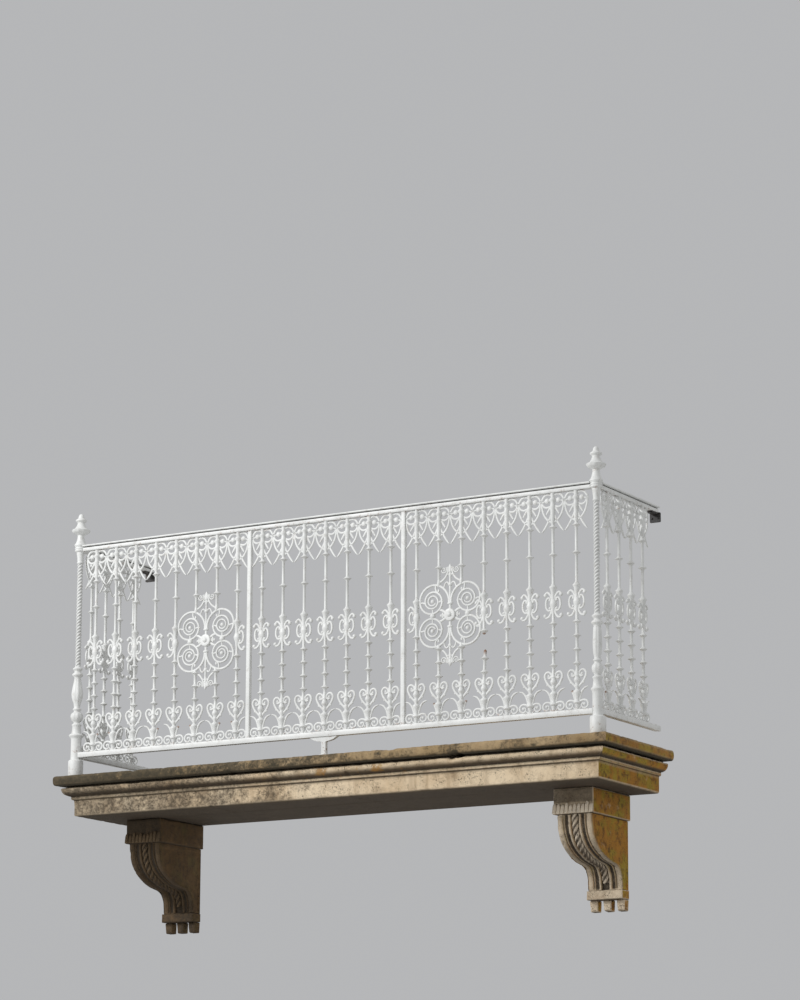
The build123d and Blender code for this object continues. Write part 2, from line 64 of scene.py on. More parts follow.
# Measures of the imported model


@dataclass(frozen=True)
class Site:
    """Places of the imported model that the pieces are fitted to, in millimetres.

    Heights are measured up from the deck, the top of the stone platform.
    """

    deck: float
    post_x: float
    rail_y: float
    standard_x: float
    bottom_low: float
    bottom_top: float
    top_low: float
    top_high: float
    handrail: float
    pitch: float = 103.5
    post_to_first: float = 89.0

    @classmethod
    def measured(cls) -> "Site":
        """Reads the places from the boxes of the CAD nodes.

        Returns:
            The site.
        """
        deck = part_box("platform_top_slab")[1].z / MM
        post_low, post_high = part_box("post_right")
        standard_low, standard_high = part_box("standard_right")
        bottom_low, bottom_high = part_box("bottom_bar_front")
        top_low, top_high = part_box("top_bar_front")
        return cls(
            deck=deck,
            post_x=(post_low.x + post_high.x) / 2 / MM,
            rail_y=(post_low.y + post_high.y) / 2 / MM,
            standard_x=(standard_low.x + standard_high.x) / 2 / MM,
            bottom_low=bottom_low.z / MM - deck,
            bottom_top=bottom_high.z / MM - deck,
            top_low=top_low.z / MM - deck,
            top_high=top_high.z / MM - deck,
            handrail=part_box("handrail_cap_front")[1].z / MM - deck,
        )

    def front_axes(self, bay: str) -> list[float]:
        """Baluster axes of one bay of the front, from left to right.

        Args:
            bay: Left, middle or right.

        Returns:
            Places along the front.
        """
        if bay == "middle":
            return [(i - 3) * self.pitch for i in range(7)]
        outer = self.post_x - self.post_to_first
        places = [outer - i * self.pitch for i in range(8)]
        return places[::-1] if bay == "right" else [-x for x in places]

    def return_axes(self) -> list[float]:
        """Baluster axes of a return, from the corner post to the wall."""
        return [self.rail_y + self.post_to_first + i * self.pitch for i in range(4)]


# Tools for meshes


def eased(values: Sequence[float], t: float) -> float:
    """Value at a share of the way between the two middle ones of four.

    Args:
        values: The four values.
        t: Share of the way, 0 to 1.

    Returns:
        The value there.
    """
    p, q, r, s = values
    square, cube = 2 * p - 5 * q + 4 * r - s, 3 * q - p - 3 * r + s
    return 0.5 * (2 * q + (r - p) * t + square * t * t + cube * t**3)


def flowing(stations: Sequence[Station], step: float) -> list[Station]:
    """Smooth line through stations, divided into short spans.

    Args:
        stations: points with any further values, such as a width, after the place.
        step: length of a span, in millimetres.

    Returns:
        The stations of the line, the first and the last among them.
    """
    ends = [stations[0], *stations, stations[-1]]
    line: list[Station] = []
    for a, b, c, d in zip(ends, ends[1:], ends[2:], ends[3:]):
        spans = max(2, round(hypot(c[0] - b[0], c[1] - b[1]) / step))
        line.extend(tuple(eased(values, i / spans) for values in zip(a, b, c, d)) for i in range(spans))
    line.append(tuple(stations[-1]))
    return line


def mirrored(stations: Sequence[Station], side: Side) -> list[Station]:
    """The same stations on a chosen side."""
    return [(side * s[0], *s[1:]) for s in stations]


def spiral(
    centre: tuple[float, float],
    radius: float,
    decay: float,
    start: float,
    turns: float,
    widths: tuple[float, float],
    spans: int = 22,
) -> list[Station]:
    """Stations of a shrinking spiral, clockwise as seen from the front.

    Args:
        centre: place of the eye.
        radius: radius of the line at the start.
        decay: the radius shrinks by exp(-decay) in a turn.
        start: angle of the start, in degrees from +X.
        turns: turns from the start to the end.
        widths: widths of the strap at the start and the end.
        spans: spans in a turn.

    Returns:
        Stations of place and width.
    """
    count = round(turns * spans)
    line = []
    for i in range(count + 1):
        share = i / count
        angle = radians(start) - 2 * pi * turns * share
        reach = radius * exp(-decay * turns * share)
        width = widths[0] + (widths[1] - widths[0]) * share
        line.append((centre[0] + reach * cos(angle), centre[1] + reach * sin(angle), width))
    return line


@dataclass
class Shell:
    """Closed surfaces gathered for one mesh, in millimetres, with heights from a level."""

    level: float = 0.0
    fullness: float = 1.0
    points: list[Vector] = field(default_factory=list)
    wear: list[float] = field(default_factory=list)
    # share of painted shade at each point, in gaps, grooves and under overhangs
    hollow: list[float] = field(default_factory=list)
    faces: list[tuple[int, ...]] = field(default_factory=list)

    def skin(self, loops: Sequence[Sequence[Vector]], wear: Sequence[float] | None = None) -> None:
        """Joins loops of equal counts into a tube and closes both its ends.

        Args:
            loops: the loops, in order.
            wear: wear of each loop, from 0 to 1.
        """
        first = len(self.points)
        sides = len(loops[0])
        for i, loop in enumerate(loops):
            self.points.extend(loop)
            self.wear.extend([wear[i] if wear else 0.0] * sides)
        for i in range(len(loops) - 1):
            low = first + i * sides
            for j in range(sides):
                k = (j + 1) % sides
                self.faces.append((low + j, low + k, low + sides + k, low + sides + j))
        last = len(self.points) - sides
        self.faces.append(tuple(range(first, first + sides))[::-1])
        self.faces.append(tuple(range(last, last + sides)))

    def turned(
        self,
        profile: Sequence[Station],
        place: tuple[float, float] = (0.0, 0.0),
        sides: int = 12,
        flat: float = 1.0,
        lobes: int = 0,
    ) -> None:
        """Adds a solid of revolution round an upright axis.

        Args:
            profile: stations of radius and height, and the depth of the lobes where it has them.
            place: the axis, across and in depth.
            sides: sides of the round.
            flat: depth of the solid as a share of its width.
            lobes: number of rounded lobes round the axis.
        """
        loops = []
        for station in profile:
            depth = station[2] if len(station) > 2 else 0.0
            loop = []
            for j in range(sides):
                angle = 2 * pi * j / sides
                radius = station[0] * (1 - depth * (1 - abs(cos(lobes * angle / 2))))
                x, y = radius * cos(angle), flat * radius * sin(angle)
                loop.append(Vector((place[0] + x, place[1] + y, station[1])))
            loops.append(loop)
        self.skin(loops)

    def strap(
        self,
        line: Sequence[Station],
        depth: float = 8.0,
        sides: int = 8,
        ends: tuple[float, float] = (0.0, 0.0),
        rough: float = 0.0,
    ) -> None:
        """Adds a rounded strap that follows a line in the plane of the railing.

        Args:
            line: stations of place and width.
            depth: thickness of the strap, front to back.
            sides: sides of its section.
            ends: wear of its first and last loop.
            rough: how far a broken end is ragged.
        """
        loops, wear = [], []
        last = len(line) - 1
        for i, (x, h, drawn) in enumerate(line):
            width = drawn * self.fullness
            a, b = line[max(i - 1, 0)], line[min(i + 1, last)]
            length = hypot(b[0] - a[0], b[1] - a[1]) or 1.0
            nx, nh = -(b[1] - a[1]) / length, (b[0] - a[0]) / length
            loops.append(self._section(x, h, nx, nh, width, min(depth, width * STRAP_DEEPEST), sides))
            wear.append(ends[0] if i <= 1 else ends[1] if i >= last - 1 else 0.0)
        if rough:
            for point in loops[-1]:
                point += Vector((noise.noise(point * 0.9), 0.0, noise.noise(point * 0.7))) * rough
        else:
            tip = Vector((line[-1][0], 0.0, line[-1][1]))
            loops.append([point.lerp(tip, STRAP_TIP) for point in loops[-1]])
            wear.append(wear[-1])
        self.skin(loops, wear)

    @staticmethod
    def _section(
        x: float, h: float, nx: float, nh: float, width: float, depth: float, sides: int
    ) -> list[Vector]:
        """Rounded section of a strap across its line."""
        loop = []
        for j in range(sides):
            angle = 2 * pi * (j + 0.5) / sides
            across, front = cos(angle), sin(angle)
            across = abs(across) ** STRAP_ROUNDING * (1 if across > 0 else -1) * width / 2
            front = abs(front) ** STRAP_ROUNDING * (1 if front > 0 else -1) * depth / 2
            loop.append(Vector((x + nx * across, front, h + nh * across)))
        return loop

    def ball(self, x: float, h: float, radius: float, flat: float = 0.9, sides: int = 10) -> None:
        """Adds a ball in the plane of the railing."""
        steps, pole = 7, 0.3
        turns = [pi * i / steps for i in range(steps + 1)]
        profile = [(max(pole, radius * sin(turn)), h - radius * cos(turn)) for turn in turns]
        self.turned(profile, (x, 0.0), sides, flat)

    def disc(self, x: float, h: float, profile: Sequence[Station], sides: int = 14) -> None:
        """Adds a round of revolution about an axis from front to back.

        Args:
            x: place of the axis across the railing.
            h: its height.
            profile: stations of radius and depth, from front to back.
            sides: sides of the round.
        """
        turns = [2 * pi * j / sides for j in range(sides)]
        self.skin([[Vector((x + r * cos(t), depth, h + r * sin(t))) for t in turns] for r, depth in profile])

    def bar(
        self, ends: tuple[Vector, Vector], width: float, height: float, bevel: float, spans: int = 1
    ) -> None:
        """Adds a straight bar with rounded edges between the centres of its two ends.

        Args:
            ends: Centres of its ends.
            width: Size across.
            height: Size upwards.
            bevel: Width of the eased edges.
            spans: Steps along it.
        """
        start, stop = ends
        along = (stop - start).normalized()
        up = Vector((0, 0, 1)) if abs(along.z) < 0.5 else Vector((0, 1, 0))
        across = along.cross(up).normalized()
        up = across.cross(along)
        loops = []
        for i in range(spans + 1):
            centre = start.lerp(stop, i / spans)
            loop = []
            for sx, sy in ((1, 1), (-1, 1), (-1, -1), (1, -1)):
                for k in range(3):
                    turn = atan2(sy, sx) + (k - 1) * pi / 4
                    corner = across * sx * (width / 2 - bevel) + up * sy * (height / 2 - bevel)
                    loop.append(centre + corner + (across * cos(turn) + up * sin(turn)) * bevel)
            loops.append(loop)
        self.skin(loops)

    def slab(self, outline: Sequence[tuple[float, float]], front: float, back: float, bevel: float) -> None:
        """Adds a flat plate with eased edges from an outline of place and height.

        Args:
            outline: Corners as place and height.
            front: Place of its front.
            back: Place of its back.
            bevel: Width of the eased edges.
        """
        middle = Vector(
            (sum(p[0] for p in outline) / len(outline), 0.0, sum(p[1] for p in outline) / len(outline))
        )
        loops = []
        for depth, inset in ((front, bevel), (front + bevel, 0.0), (back - bevel, 0.0), (back, bevel)):
            loop = []
            for x, h in outline:
                point = Vector((x, 0.0, h))
                inward = (middle - point).normalized() * inset
                loop.append(Vector((x + inward.x, depth, h + inward.z)))
            loops.append(loop)
        self.skin(loops)

    def join(self, other: "Shell") -> None:
        """Adds the surfaces of another shell."""
        first = len(self.points)
        self.hollow += [0.0] * (first - len(self.hollow)) + other.hollow
        self.points += other.points
        self.wear += other.wear
        self.faces += [tuple(first + i for i in face) for face in other.faces]

    def mesh(self, name: str, sharp: float = 42.0) -> bpy.types.Mesh:
        """Makes the Blender mesh, in metres in the row frame, with its faces outwards.

        Args:
            name: name of the mesh.
            sharp: edges that turn by more degrees than this stay sharp.

        Returns:
            The mesh, with the wear and the painted shade of each point as attributes.
        """
        mesh = bpy.data.meshes.new(name)
        lift = Vector((0, 0, self.level))
        mesh.from_pydata([(p + lift) * MM for p in self.points], [], self.faces)
        hollow = self.hollow + [0.0] * (len(self.points) - len(self.hollow))
        for label, values in (("wear", self.wear), ("hollow", hollow)):
            mesh.attributes.new(label, "FLOAT", "POINT").data.foreach_set("value", values)
        face_outwards(mesh, sharp)
        return mesh


def face_outwards(mesh: bpy.types.Mesh, sharp: float = 42.0) -> None:
    """Turns the faces of closed shells outwards and shades them smooth up to an angle.

    Args:
        mesh: Mesh to turn.
        sharp: Angle in degrees.
    """
    work = bmesh.new()
    work.from_mesh(mesh)
    bmesh.ops.recalc_face_normals(work, faces=work.faces)
    work.to_mesh(mesh)
    work.free()
    mesh.shade_smooth()
    mesh.set_sharp_from_angle(angle=radians(sharp))


def weathered(
    mesh: bpy.types.Mesh, edge_depth: float, seed: float, damage: Callable[[Vector], float] | None = None
) -> None:
    """Wears a stone mesh inwards, more at its edges, so that it never grows.

    Args:
        mesh: the mesh, with an edge weight in its wear attribute.
        edge_depth: deepest general wear of an edge, in millimetres.
        seed: shifts the pattern.
        damage: wear of a place in millimetres, added to the general wear.
    """
    weights = [item.value for item in mesh.attributes["wear"].data]
    shift = Vector((seed, seed * 0.7, -seed))
    rough_scale, lump_scale, grit_scale, chip_from = 55.0, 26.0, 75.0, 0.08
    moves = []
    for vertex, weight in zip(mesh.vertices, weights):
        place = vertex.co
        rough = noise.fractal(place * rough_scale + shift, 1.0, 2.0, 4) * 0.5 + 0.5
        lumps, grit = noise.noise(place * lump_scale + shift), noise.noise(place * grit_scale - shift)
        chip = max(0.0, lumps * 0.6 + grit * 0.4 - chip_from)
        amount = 0.9 * rough + weight * (0.25 * edge_depth * rough + 2.2 * edge_depth * chip)
        amount += damage(place) if damage else 0.0
        amount *= min(1.0, max(0.0, -place.y / REAR_KEPT))
        moves.append(vertex.normal * amount * MM)
    for vertex, move in zip(mesh.vertices, moves):
        vertex.co -= move


# Node trees


class Wiring:
    """Adds nodes to one node tree and joins their sockets."""

    def __init__(self, tree: bpy.types.NodeTree) -> None:
        """Takes the tree that it works on."""
        self.tree = tree

    def feed(self, node: bpy.types.Node, inputs: Mapping[str | int, object]) -> None:
        """Feeds a node's inputs from values or from other sockets.

        Args:
            node: Node to feed.
            inputs: Values or sockets by input.
        """
        for key, value in inputs.items():
            if isinstance(value, bpy.types.NodeSocket):
                self.tree.links.new(value, node.inputs[key])
            else:
                node.inputs[key].default_value = value

    def add(
        self, kind: str, inputs: Mapping[str | int, object] | None = None, **settings: object
    ) -> bpy.types.Node:
        """Adds a node, sets it and feeds its inputs.

        Args:
            kind: Blender's name of the node.
            inputs: Values or sockets.
            settings: Its properties.

        Returns:
            The node.
        """
        node = self.tree.nodes.new(kind)
        for name, value in settings.items():
            setattr(node, name, value)
        self.feed(node, inputs or {})
        return node

    def group(self, tree: bpy.types.ShaderNodeTree, **inputs: object) -> Socket:
        """Adds a shared group and returns its mask."""
        node = self.add("ShaderNodeGroup", node_tree=tree)
        self.feed(node, inputs)
        return node.outputs["Mask"]

    def math(self, operation: str, a: object, b: object = 0.0, clamp: bool = False) -> Socket:
        """One sum of two values."""
        return self.add("ShaderNodeMath", {0: a, 1: b}, operation=operation, use_clamp=clamp).outputs[0]

    def times(self, first: object, *others: object) -> Socket:
        """Product of values."""
        for other in others:
            first = self.math("MULTIPLY", first, other)
        return first

    def blend(self, share: object, a: object, b: object) -> Socket:
        """Mixes two colours."""
        return self.add("ShaderNodeMix", {0: share, 6: a, 7: b}, data_type="RGBA").outputs[2]

    def span(
        self, value: object, low: object, high: object, start: object = 0.0, stop: object = 1.0
    ) -> Socket:
        """Maps a range of a value smoothly to another range.

        Args:
            value: Value to map.
            low: Start of its range.
            high: End of its range.
            start: Result at the start.
            stop: Result at the end.

        Returns:
            The result.
        """
        node = self.add(
            "ShaderNodeMapRange",
            {"Value": value, "From Min": low, "From Max": high, "To Min": start, "To Max": stop},
            interpolation_type="SMOOTHSTEP",
        )
        return node.outputs[0]

    def near(self, value: object, centre: float, inner: float, outer: float, peak: float = 1.0) -> Socket:
        """Mask of the values near a centre, full within one distance and gone at another."""
        off = self.math("ABSOLUTE", self.math("SUBTRACT", value, centre))
        return self.span(off, inner, outer, peak, 0.0)

    def noise(self, vector: object, scale: object, detail: float = 5.0, roughness: float = 0.55) -> Socket:
        """Fractal noise from 0 to 1."""
        inputs = {"Vector": vector, "Scale": scale, "Detail": detail, "Roughness": roughness}
        return self.add("ShaderNodeTexNoise", inputs).outputs[0]

    def axes(self, vector: object) -> bpy.types.bpy_prop_collection:
        """The three parts of a vector."""
        return self.add("ShaderNodeSeparateXYZ", {0: vector}).outputs

    def vector(self, operation: str, inputs: Mapping[str | int, object]) -> Socket:
        """One sum of vectors."""
        return self.add("ShaderNodeVectorMath", inputs, operation=operation).outputs[0]


def shared_group(name: str, **inputs: object) -> tuple[Wiring, Mapping[str, Socket], bpy.types.Node]:
    """Starts a shader node group that gives one mask.

    Args:
        name: name of the group.
        inputs: its inputs, vectors where the value is a tuple and numbers elsewhere.

    Returns:
        The wiring of the group, its inputs and its output node.
    """
    tree = bpy.data.node_groups.new(name, "ShaderNodeTree")
    for label, value in inputs.items():
        kind = "NodeSocketVector" if isinstance(value, tuple) else "NodeSocketFloat"
        tree.interface.new_socket(name=label, in_out="INPUT", socket_type=kind).default_value = value
    tree.interface.new_socket(name="Mask", in_out="OUTPUT", socket_type="NodeSocketFloat")
    wiring = Wiring(tree)
    return wiring, wiring.add("NodeGroupInput").outputs, wiring.add("NodeGroupOutput")


class Effects:
    """Shader node groups that the finishes share, each built once."""

    def __init__(self) -> None:
        """Builds the groups."""
        self.patches = self._patches()
        self.pits = self._pits()
        self.runs = self._runs()

    @staticmethod
    def _patches() -> bpy.types.ShaderNodeTree:
        """Soft patches with a chosen cover."""
        wires, source, sink = shared_group(
            "Patches", Vector=(0.0, 0.0, 0.0), Scale=8.0, Low=0.45, High=0.6, Shift=0.0
        )
        moved = wires.vector("ADD", {0: source["Vector"], 1: source["Shift"]})
        cloud = wires.noise(moved, source["Scale"], 7.0, 0.62)
        wires.feed(sink, {"Mask": wires.span(cloud, source["Low"], source["High"])})
        return wires.tree

    @staticmethod
    def _pits() -> bpy.types.ShaderNodeTree:
        """Small scattered pits or specks, in places only."""
        wires, source, sink = shared_group(
            "Pits", Vector=(0.0, 0.0, 0.0), Scale=120.0, Size=0.3, Cover=0.5
        )
        place, size, cover = source["Vector"], source["Size"], source["Cover"]
        warp = wires.add("ShaderNodeTexNoise", {"Vector": place, "Scale": 90.0, "Detail": 2.0})
        bent = wires.vector("MULTIPLY_ADD", {0: warp.outputs[1], 1: (0.006, 0.006, 0.006), 2: place})
        cells = wires.add("ShaderNodeTexVoronoi", {"Vector": bent, "Scale": source["Scale"]})
        spot = wires.span(cells.outputs["Distance"], wires.times(size, 0.5), size, 1.0, 0.0)
        cloud = wires.noise(place, 31.0, 3.0)
        region = wires.span(cloud, cover, wires.math("ADD", cover, 0.1))
        wires.feed(sink, {"Mask": wires.times(spot, region)})
        return wires.tree

    @staticmethod
    def _runs() -> bpy.types.ShaderNodeTree:
        """Upright streaks where water has run."""
        wires, source, sink = shared_group("Runs", Vector=(0.0, 0.0, 0.0), Scale=30.0, Low=0.5, High=0.65)
        drawn = wires.vector("MULTIPLY", {0: source["Vector"], 1: (1.0, 1.0, 0.09)})
        cloud = wires.noise(drawn, source["Scale"], 5.0, 0.6)
        wires.feed(sink, {"Mask": wires.span(cloud, source["Low"], source["High"])})
        return wires.tree


class Surface:
    """A material in the making, with the place and the marks that its colours follow."""

    def __init__(self, name: str) -> None:
        """Starts the material."""
        self.material = bpy.data.materials.new(name)
        self.material.use_nodes = True
        self.wires = Wiring(self.material.node_tree)
        self.place = self.wires.add("ShaderNodeTexCoord").outputs["Object"]
        self.across, _, self.height = self.wires.axes(self.place)
        self.worn = self.wires.add("ShaderNodeAttribute", attribute_name="wear").outputs["Fac"]
        # painted shade that the meshes mark in gaps, grooves and under overhangs
        self.hollow = self.wires.add("ShaderNodeAttribute", attribute_name="hollow").outputs["Fac"]

    def patches(self, effects: Effects, scale: float, low: float, high: float, shift: float = 0.0) -> Socket:
        """Soft patches of the shared group."""
        return self.wires.group(
            effects.patches, Vector=self.place, Scale=scale, Low=low, High=high, Shift=shift
        )

    def pits(self, effects: Effects, scale: float, size: float, cover: float) -> Socket:
        """Scattered pits of the shared group."""
        return self.wires.group(effects.pits, Vector=self.place, Scale=scale, Size=size, Cover=cover)

    def close(
        self, colour: Socket, relief: Socket, strength: float, depth: float, **shader_inputs: object
    ) -> bpy.types.Material:
        """Ends the material in its shader.

        Args:
            colour: base colour.
            relief: height of the fine relief.
            strength: strength of the relief.
            depth: depth of the relief, in metres.
            shader_inputs: other inputs of the shader, with _ for a space.

        Returns:
            The material.
        """
        bump = self.wires.add("ShaderNodeBump", {"Strength": strength, "Distance": depth, "Height": relief})
        inputs = {label.replace("_", " "): value for label, value in shader_inputs.items()}
        inputs |= {"Base Color": colour, "Normal": bump.outputs[0]}
        self.wires.feed(self.material.node_tree.nodes["Principled BSDF"], inputs)
        return self.material


@dataclass(frozen=True)
class IronFinish:
    """Old paint on iron, with rust where it has flaked, and painted shade where its mesh marks it."""

    name: str
    paint: Colour = (0.80, 0.81, 0.80, 1.0)
    shade: Colour = (0.72, 0.73, 0.72, 1.0)
    grime: Colour = (0.40, 0.37, 0.32, 1.0)
    rust: Colour = (0.17, 0.065, 0.025, 1.0)
    rust_light: Colour = (0.33, 0.15, 0.06, 1.0)
    # near-black colour of the painted shade in gaps and grooves
    soot: Colour = (0.035, 0.032, 0.03, 1.0)
    rust_share: float = 0.5
    gloss: float = 0.42

    def build(self, effects: Effects, site: Site) -> bpy.types.Material:
        """Builds the material."""
        surface = Surface(self.name)
        wires, place = surface.wires, surface.place
        tone = surface.patches(effects, 9.0, 0.4, 0.68)
        dirt_and_shade = surface.patches(effects, 42.0, 0.54, 0.75, 3.0)
        rust = self._rusted(surface, effects, site)
        base = wires.blend(tone, self.paint, self.shade)
        base = wires.blend(wires.times(dirt_and_shade, 0.4), base, self.grime)
        # painted shade: near black in the gap under the handrail cap and in the grooves of the twisted bars
        base = wires.blend(wires.times(surface.hollow, 0.92), base, self.soot)
        ore = wires.blend(wires.span(wires.noise(place, 160.0, 3.0), 0.4, 0.6), self.rust, self.rust_light)
        dull = wires.math("ADD", wires.times(tone, 0.12), self.gloss)
        relief = wires.math("SUBTRACT", wires.noise(place, 130.0, 4.0), wires.times(rust, 0.7))
        rough = wires.math("ADD", dull, wires.times(rust, 0.4), True)
        return surface.close(wires.blend(rust, base, ore), relief, 0.35, 0.0012, Roughness=rough)

    def _rusted(self, surface: Surface, effects: Effects, site: Site) -> Socket:
        """Rust in flakes at the feet and along the bars, in flecks, and where the iron is worn."""
        wires = surface.wires
        flecks = surface.pits(effects, 210.0, 0.42, 0.56)
        flakes = surface.patches(effects, 75.0, 0.56, 0.62, 9.0)
        levels = ((20.0, 0.03), (site.bottom_top + 4, 0.012), (site.top_low, 0.012))
        bands = None
        for level, reach in levels:
            band = wires.near(surface.height, (site.deck + level) * MM, 0.0, reach)
            bands = band if bands is None else wires.math("MAXIMUM", bands, band)
        rust = wires.math("MULTIPLY", flakes, wires.times(bands, self.rust_share), clamp=True)
        rust = wires.math("MAXIMUM", rust, wires.times(flecks, self.rust_share * 0.8))
        return wires.math("MAXIMUM", rust, surface.worn)


@dataclass(frozen=True)
class StoneFinish:
    """Weathered shell limestone with pits, dark crust, water runs and lichen, and painted shade under it and
    in hollows.
    """

    name: str
    light: Colour = (0.74, 0.60, 0.43, 1.0)
    tan: Colour = (0.60, 0.45, 0.29, 1.0)
    brown: Colour = (0.21, 0.125, 0.06, 1.0)
    # colour of the crust, also of the painted shade in hollows
    crust: Colour = (0.040, 0.033, 0.025, 1.0)
    ochre: Colour = (0.40, 0.185, 0.028, 1.0)
    moss: Colour = (0.36, 0.25, 0.03, 1.0)
    speck: Colour = (0.11, 0.05, 0.015, 1.0)
    # colour of the painted shade and soot on faces turned down
    soffit: Colour = (0.050, 0.031, 0.017, 1.0)
    film: float = 0.85
    film_gaps: float = 0.6
    film_level: float = 0.60
    rim: float = 0.5
    stain_cover: float = 0.5
    crust_left: float = 0.0
    crust_right: float = 0.0
    lichen_end: float = 0.0
    roll_moss: float = 0.0
    roll_height: float = -0.048

    def build(self, effects: Effects) -> bpy.types.Material:
        """Builds the material."""
        surface = Surface(self.name)
        wires, place = surface.wires, surface.place
        facing = wires.axes(wires.add("ShaderNodeNewGeometry").outputs["Normal"])
        colour = self._bedding(surface, effects)
        colour = self._crusted(surface, facing, colour)
        colour = self._overgrown(surface, effects, facing, colour)
        grain = wires.noise(place, 420.0, 3.0, 0.7)
        colour = wires.blend(wires.span(grain, 0.45, 0.75, 0.0, 0.35), colour, self.brown)
        pits = surface.pits(effects, 115.0, 0.34, 0.5)
        fine = surface.pits(effects, 290.0, 0.42, 0.4)
        pitted = wires.math("MAXIMUM", pits, wires.times(fine, 0.6))
        colour = wires.blend(wires.times(pitted, 0.8), colour, self.crust)
        rim = wires.times(
            wires.span(surface.worn, 0.4, 1.0),
            wires.math("SUBTRACT", 1.0, surface.hollow, True),
            wires.span(grain, 0.35, 0.6, self.rim * 0.3, self.rim),
        )
        colour = wires.blend(rim, colour, self.light)
        relief = wires.math("SUBTRACT", wires.times(grain, 0.35), pitted)
        relief = wires.math("ADD", relief, wires.noise(place, 95.0, 5.0, 0.65))
        return surface.close(colour, relief, 0.8, 0.0022, Roughness=0.9, Specular_IOR_Level=0.25)

    def _bedding(self, surface: Surface, effects: Effects) -> Socket:
        """The stone itself, with its beds, stains and water runs."""
        wires = surface.wires
        bed = surface.patches(effects, 4.0, 0.32, 0.72)
        stain = surface.patches(effects, 11.0, self.stain_cover, self.stain_cover + 0.25, 4.0)
        runs = wires.group(effects.runs, Vector=surface.place, Scale=26.0, Low=0.5, High=0.74)
        colour = wires.blend(bed, self.light, self.tan)
        colour = wires.blend(wires.times(stain, 0.55), colour, self.brown)
        return wires.blend(wires.times(runs, 0.35), colour, self.brown)

    def _crusted(self, surface: Surface, facing: Sequence[Socket], colour: Socket) -> Socket:
        """Dark crust, grainy at its edges, mixed with painted shade on the underside, in hollows and towards
        a chosen end.
        """
        wires, place = surface.wires, surface.place
        # crust film heavier towards the left end, which is partly painted shade
        side_share = wires.span(surface.across, -1.5, 0.8, self.crust_left, self.crust_right)
        below = wires.span(facing[2], -0.2, -0.9)
        broad = wires.times(wires.noise(place, 6.0, 8.0, 0.66), 0.6)
        grains = wires.times(wires.noise(place, 60.0, 5.0, 0.7), 0.4)
        cloud = wires.math("ADD", broad, grains)
        level = wires.math("SUBTRACT", self.film_level, wires.times(side_share, 0.24))
        film = wires.span(cloud, wires.math("SUBTRACT", level, 0.05), wires.math("ADD", level, 0.12))
        speckle = wires.noise(place, 62.0, 7.0, 0.75)
        film = wires.times(film, wires.span(speckle, 0.38, 0.6, self.film * self.film_gaps, self.film))
        # painted shade and crust where the mesh marks hollows
        shaded_hollows = wires.times(surface.hollow, wires.span(grains, 0.12, 0.22, 0.75, 1.0), 0.95)
        # painted shade and soot on faces turned down
        colour = wires.blend(wires.math("MULTIPLY", below, 0.92, True), colour, self.soffit)
        return wires.blend(wires.math("MAXIMUM", film, shaded_hollows), colour, self.crust)

    def _overgrown(
        self, surface: Surface, effects: Effects, facing: Sequence[Socket], colour: Socket
    ) -> Socket:
        """Lichen on the faces towards +X, golden brown with olive patches, and in tufts on the roll."""
        wires = surface.wires
        ends = wires.times(
            wires.span(facing[0], 0.35, 0.8),
            self.lichen_end,
            wires.span(surface.worn, 0.5, 1.0, 1.0, 0.15),
            wires.math("SUBTRACT", 1.0, surface.hollow, True),
        )
        bloom = surface.patches(effects, 16.0, 0.2, 0.42, 7.0)
        green = surface.patches(effects, 10.0, 0.46, 0.6, 2.0)
        dark = surface.patches(effects, 34.0, 0.48, 0.68, 5.0)
        tufts = surface.patches(effects, 15.0, 0.52, 0.62, 13.0)
        lichen = wires.blend(green, self.ochre, self.moss)
        lichen = wires.blend(wires.times(dark, 0.75), lichen, self.speck)
        front = wires.times(
            wires.near(surface.height, self.roll_height, 0.016, 0.03, self.roll_moss),
            wires.span(facing[1], -0.3, -0.7),
            wires.near(surface.across, 0.1, 0.15, 0.45),
            tufts,
        )
        colour = wires.blend(front, colour, wires.blend(dark, self.ochre, self.moss))
        return wires.blend(wires.times(ends, bloom), colour, lichen)


# Geometry Nodes recipes


class Recipe:
    """A Geometry Nodes tree with named inputs, run on a carrier mesh and baked."""

    def __init__(self, name: str, inputs: Mapping[str, float | str]) -> None:
        """Starts the tree.

        Args:
            name: name of the tree.
            inputs: default of each named input after the geometry, or the kind of data that it takes.
        """
        self.tree = bpy.data.node_groups.new(name, "GeometryNodeTree")
        interface = self.tree.interface
        for way in ("INPUT", "OUTPUT"):
            interface.new_socket(name="Geometry", in_out=way, socket_type="NodeSocketGeometry")
        self.keys: dict[str, str] = {}
        for label, value in {**inputs, "Finish": "Material"}.items():
            kind = value if isinstance(value, str) else type(value).__name__.capitalize()
            socket = interface.new_socket(name=label, in_out="INPUT", socket_type="NodeSocket" + kind)
            if not isinstance(value, str):
                socket.default_value = value
            self.keys[label] = socket.identifier
        self.wires = Wiring(self.tree)
        self.given = self.wires.add("NodeGroupInput").outputs

    def close(self, geometry: Socket) -> None:
        """Ends the tree in Realize Instances and Set Material."""
        solid = self.wires.add("GeometryNodeRealizeInstances", {"Geometry": geometry}).outputs[0]
        inputs = {"Geometry": solid, "Material": self.given["Finish"]}
        dressed = self.wires.add("GeometryNodeSetMaterial", inputs)
        self.wires.add("NodeGroupOutput", {0: dressed.outputs[0]})

    def bake(self, name: str, carrier: bpy.types.Mesh, values: Mapping[str, object]) -> bpy.types.Mesh:
        """Runs the tree on a carrier and returns the plain mesh.

        Args:
            name: name of the result.
            carrier: mesh that holds the points or the path.
            values: values of the named inputs.

        Returns:
            The mesh, with its faces outwards.
        """
        holder = bpy.data.objects.new(name + "_carrier", carrier)
        bpy.context.scene.collection.objects.link(holder)
        modifier = holder.modifiers.new("recipe", "NODES")
        modifier.node_group = self.tree
        for label, value in values.items():
            modifier[self.keys[label]] = value
        graph = bpy.context.evaluated_depsgraph_get()
        mesh = bpy.data.meshes.new_from_object(holder.evaluated_get(graph), depsgraph=graph)
        mesh.name = name
        bpy.data.objects.remove(holder)
        face_outwards(mesh)
        return mesh


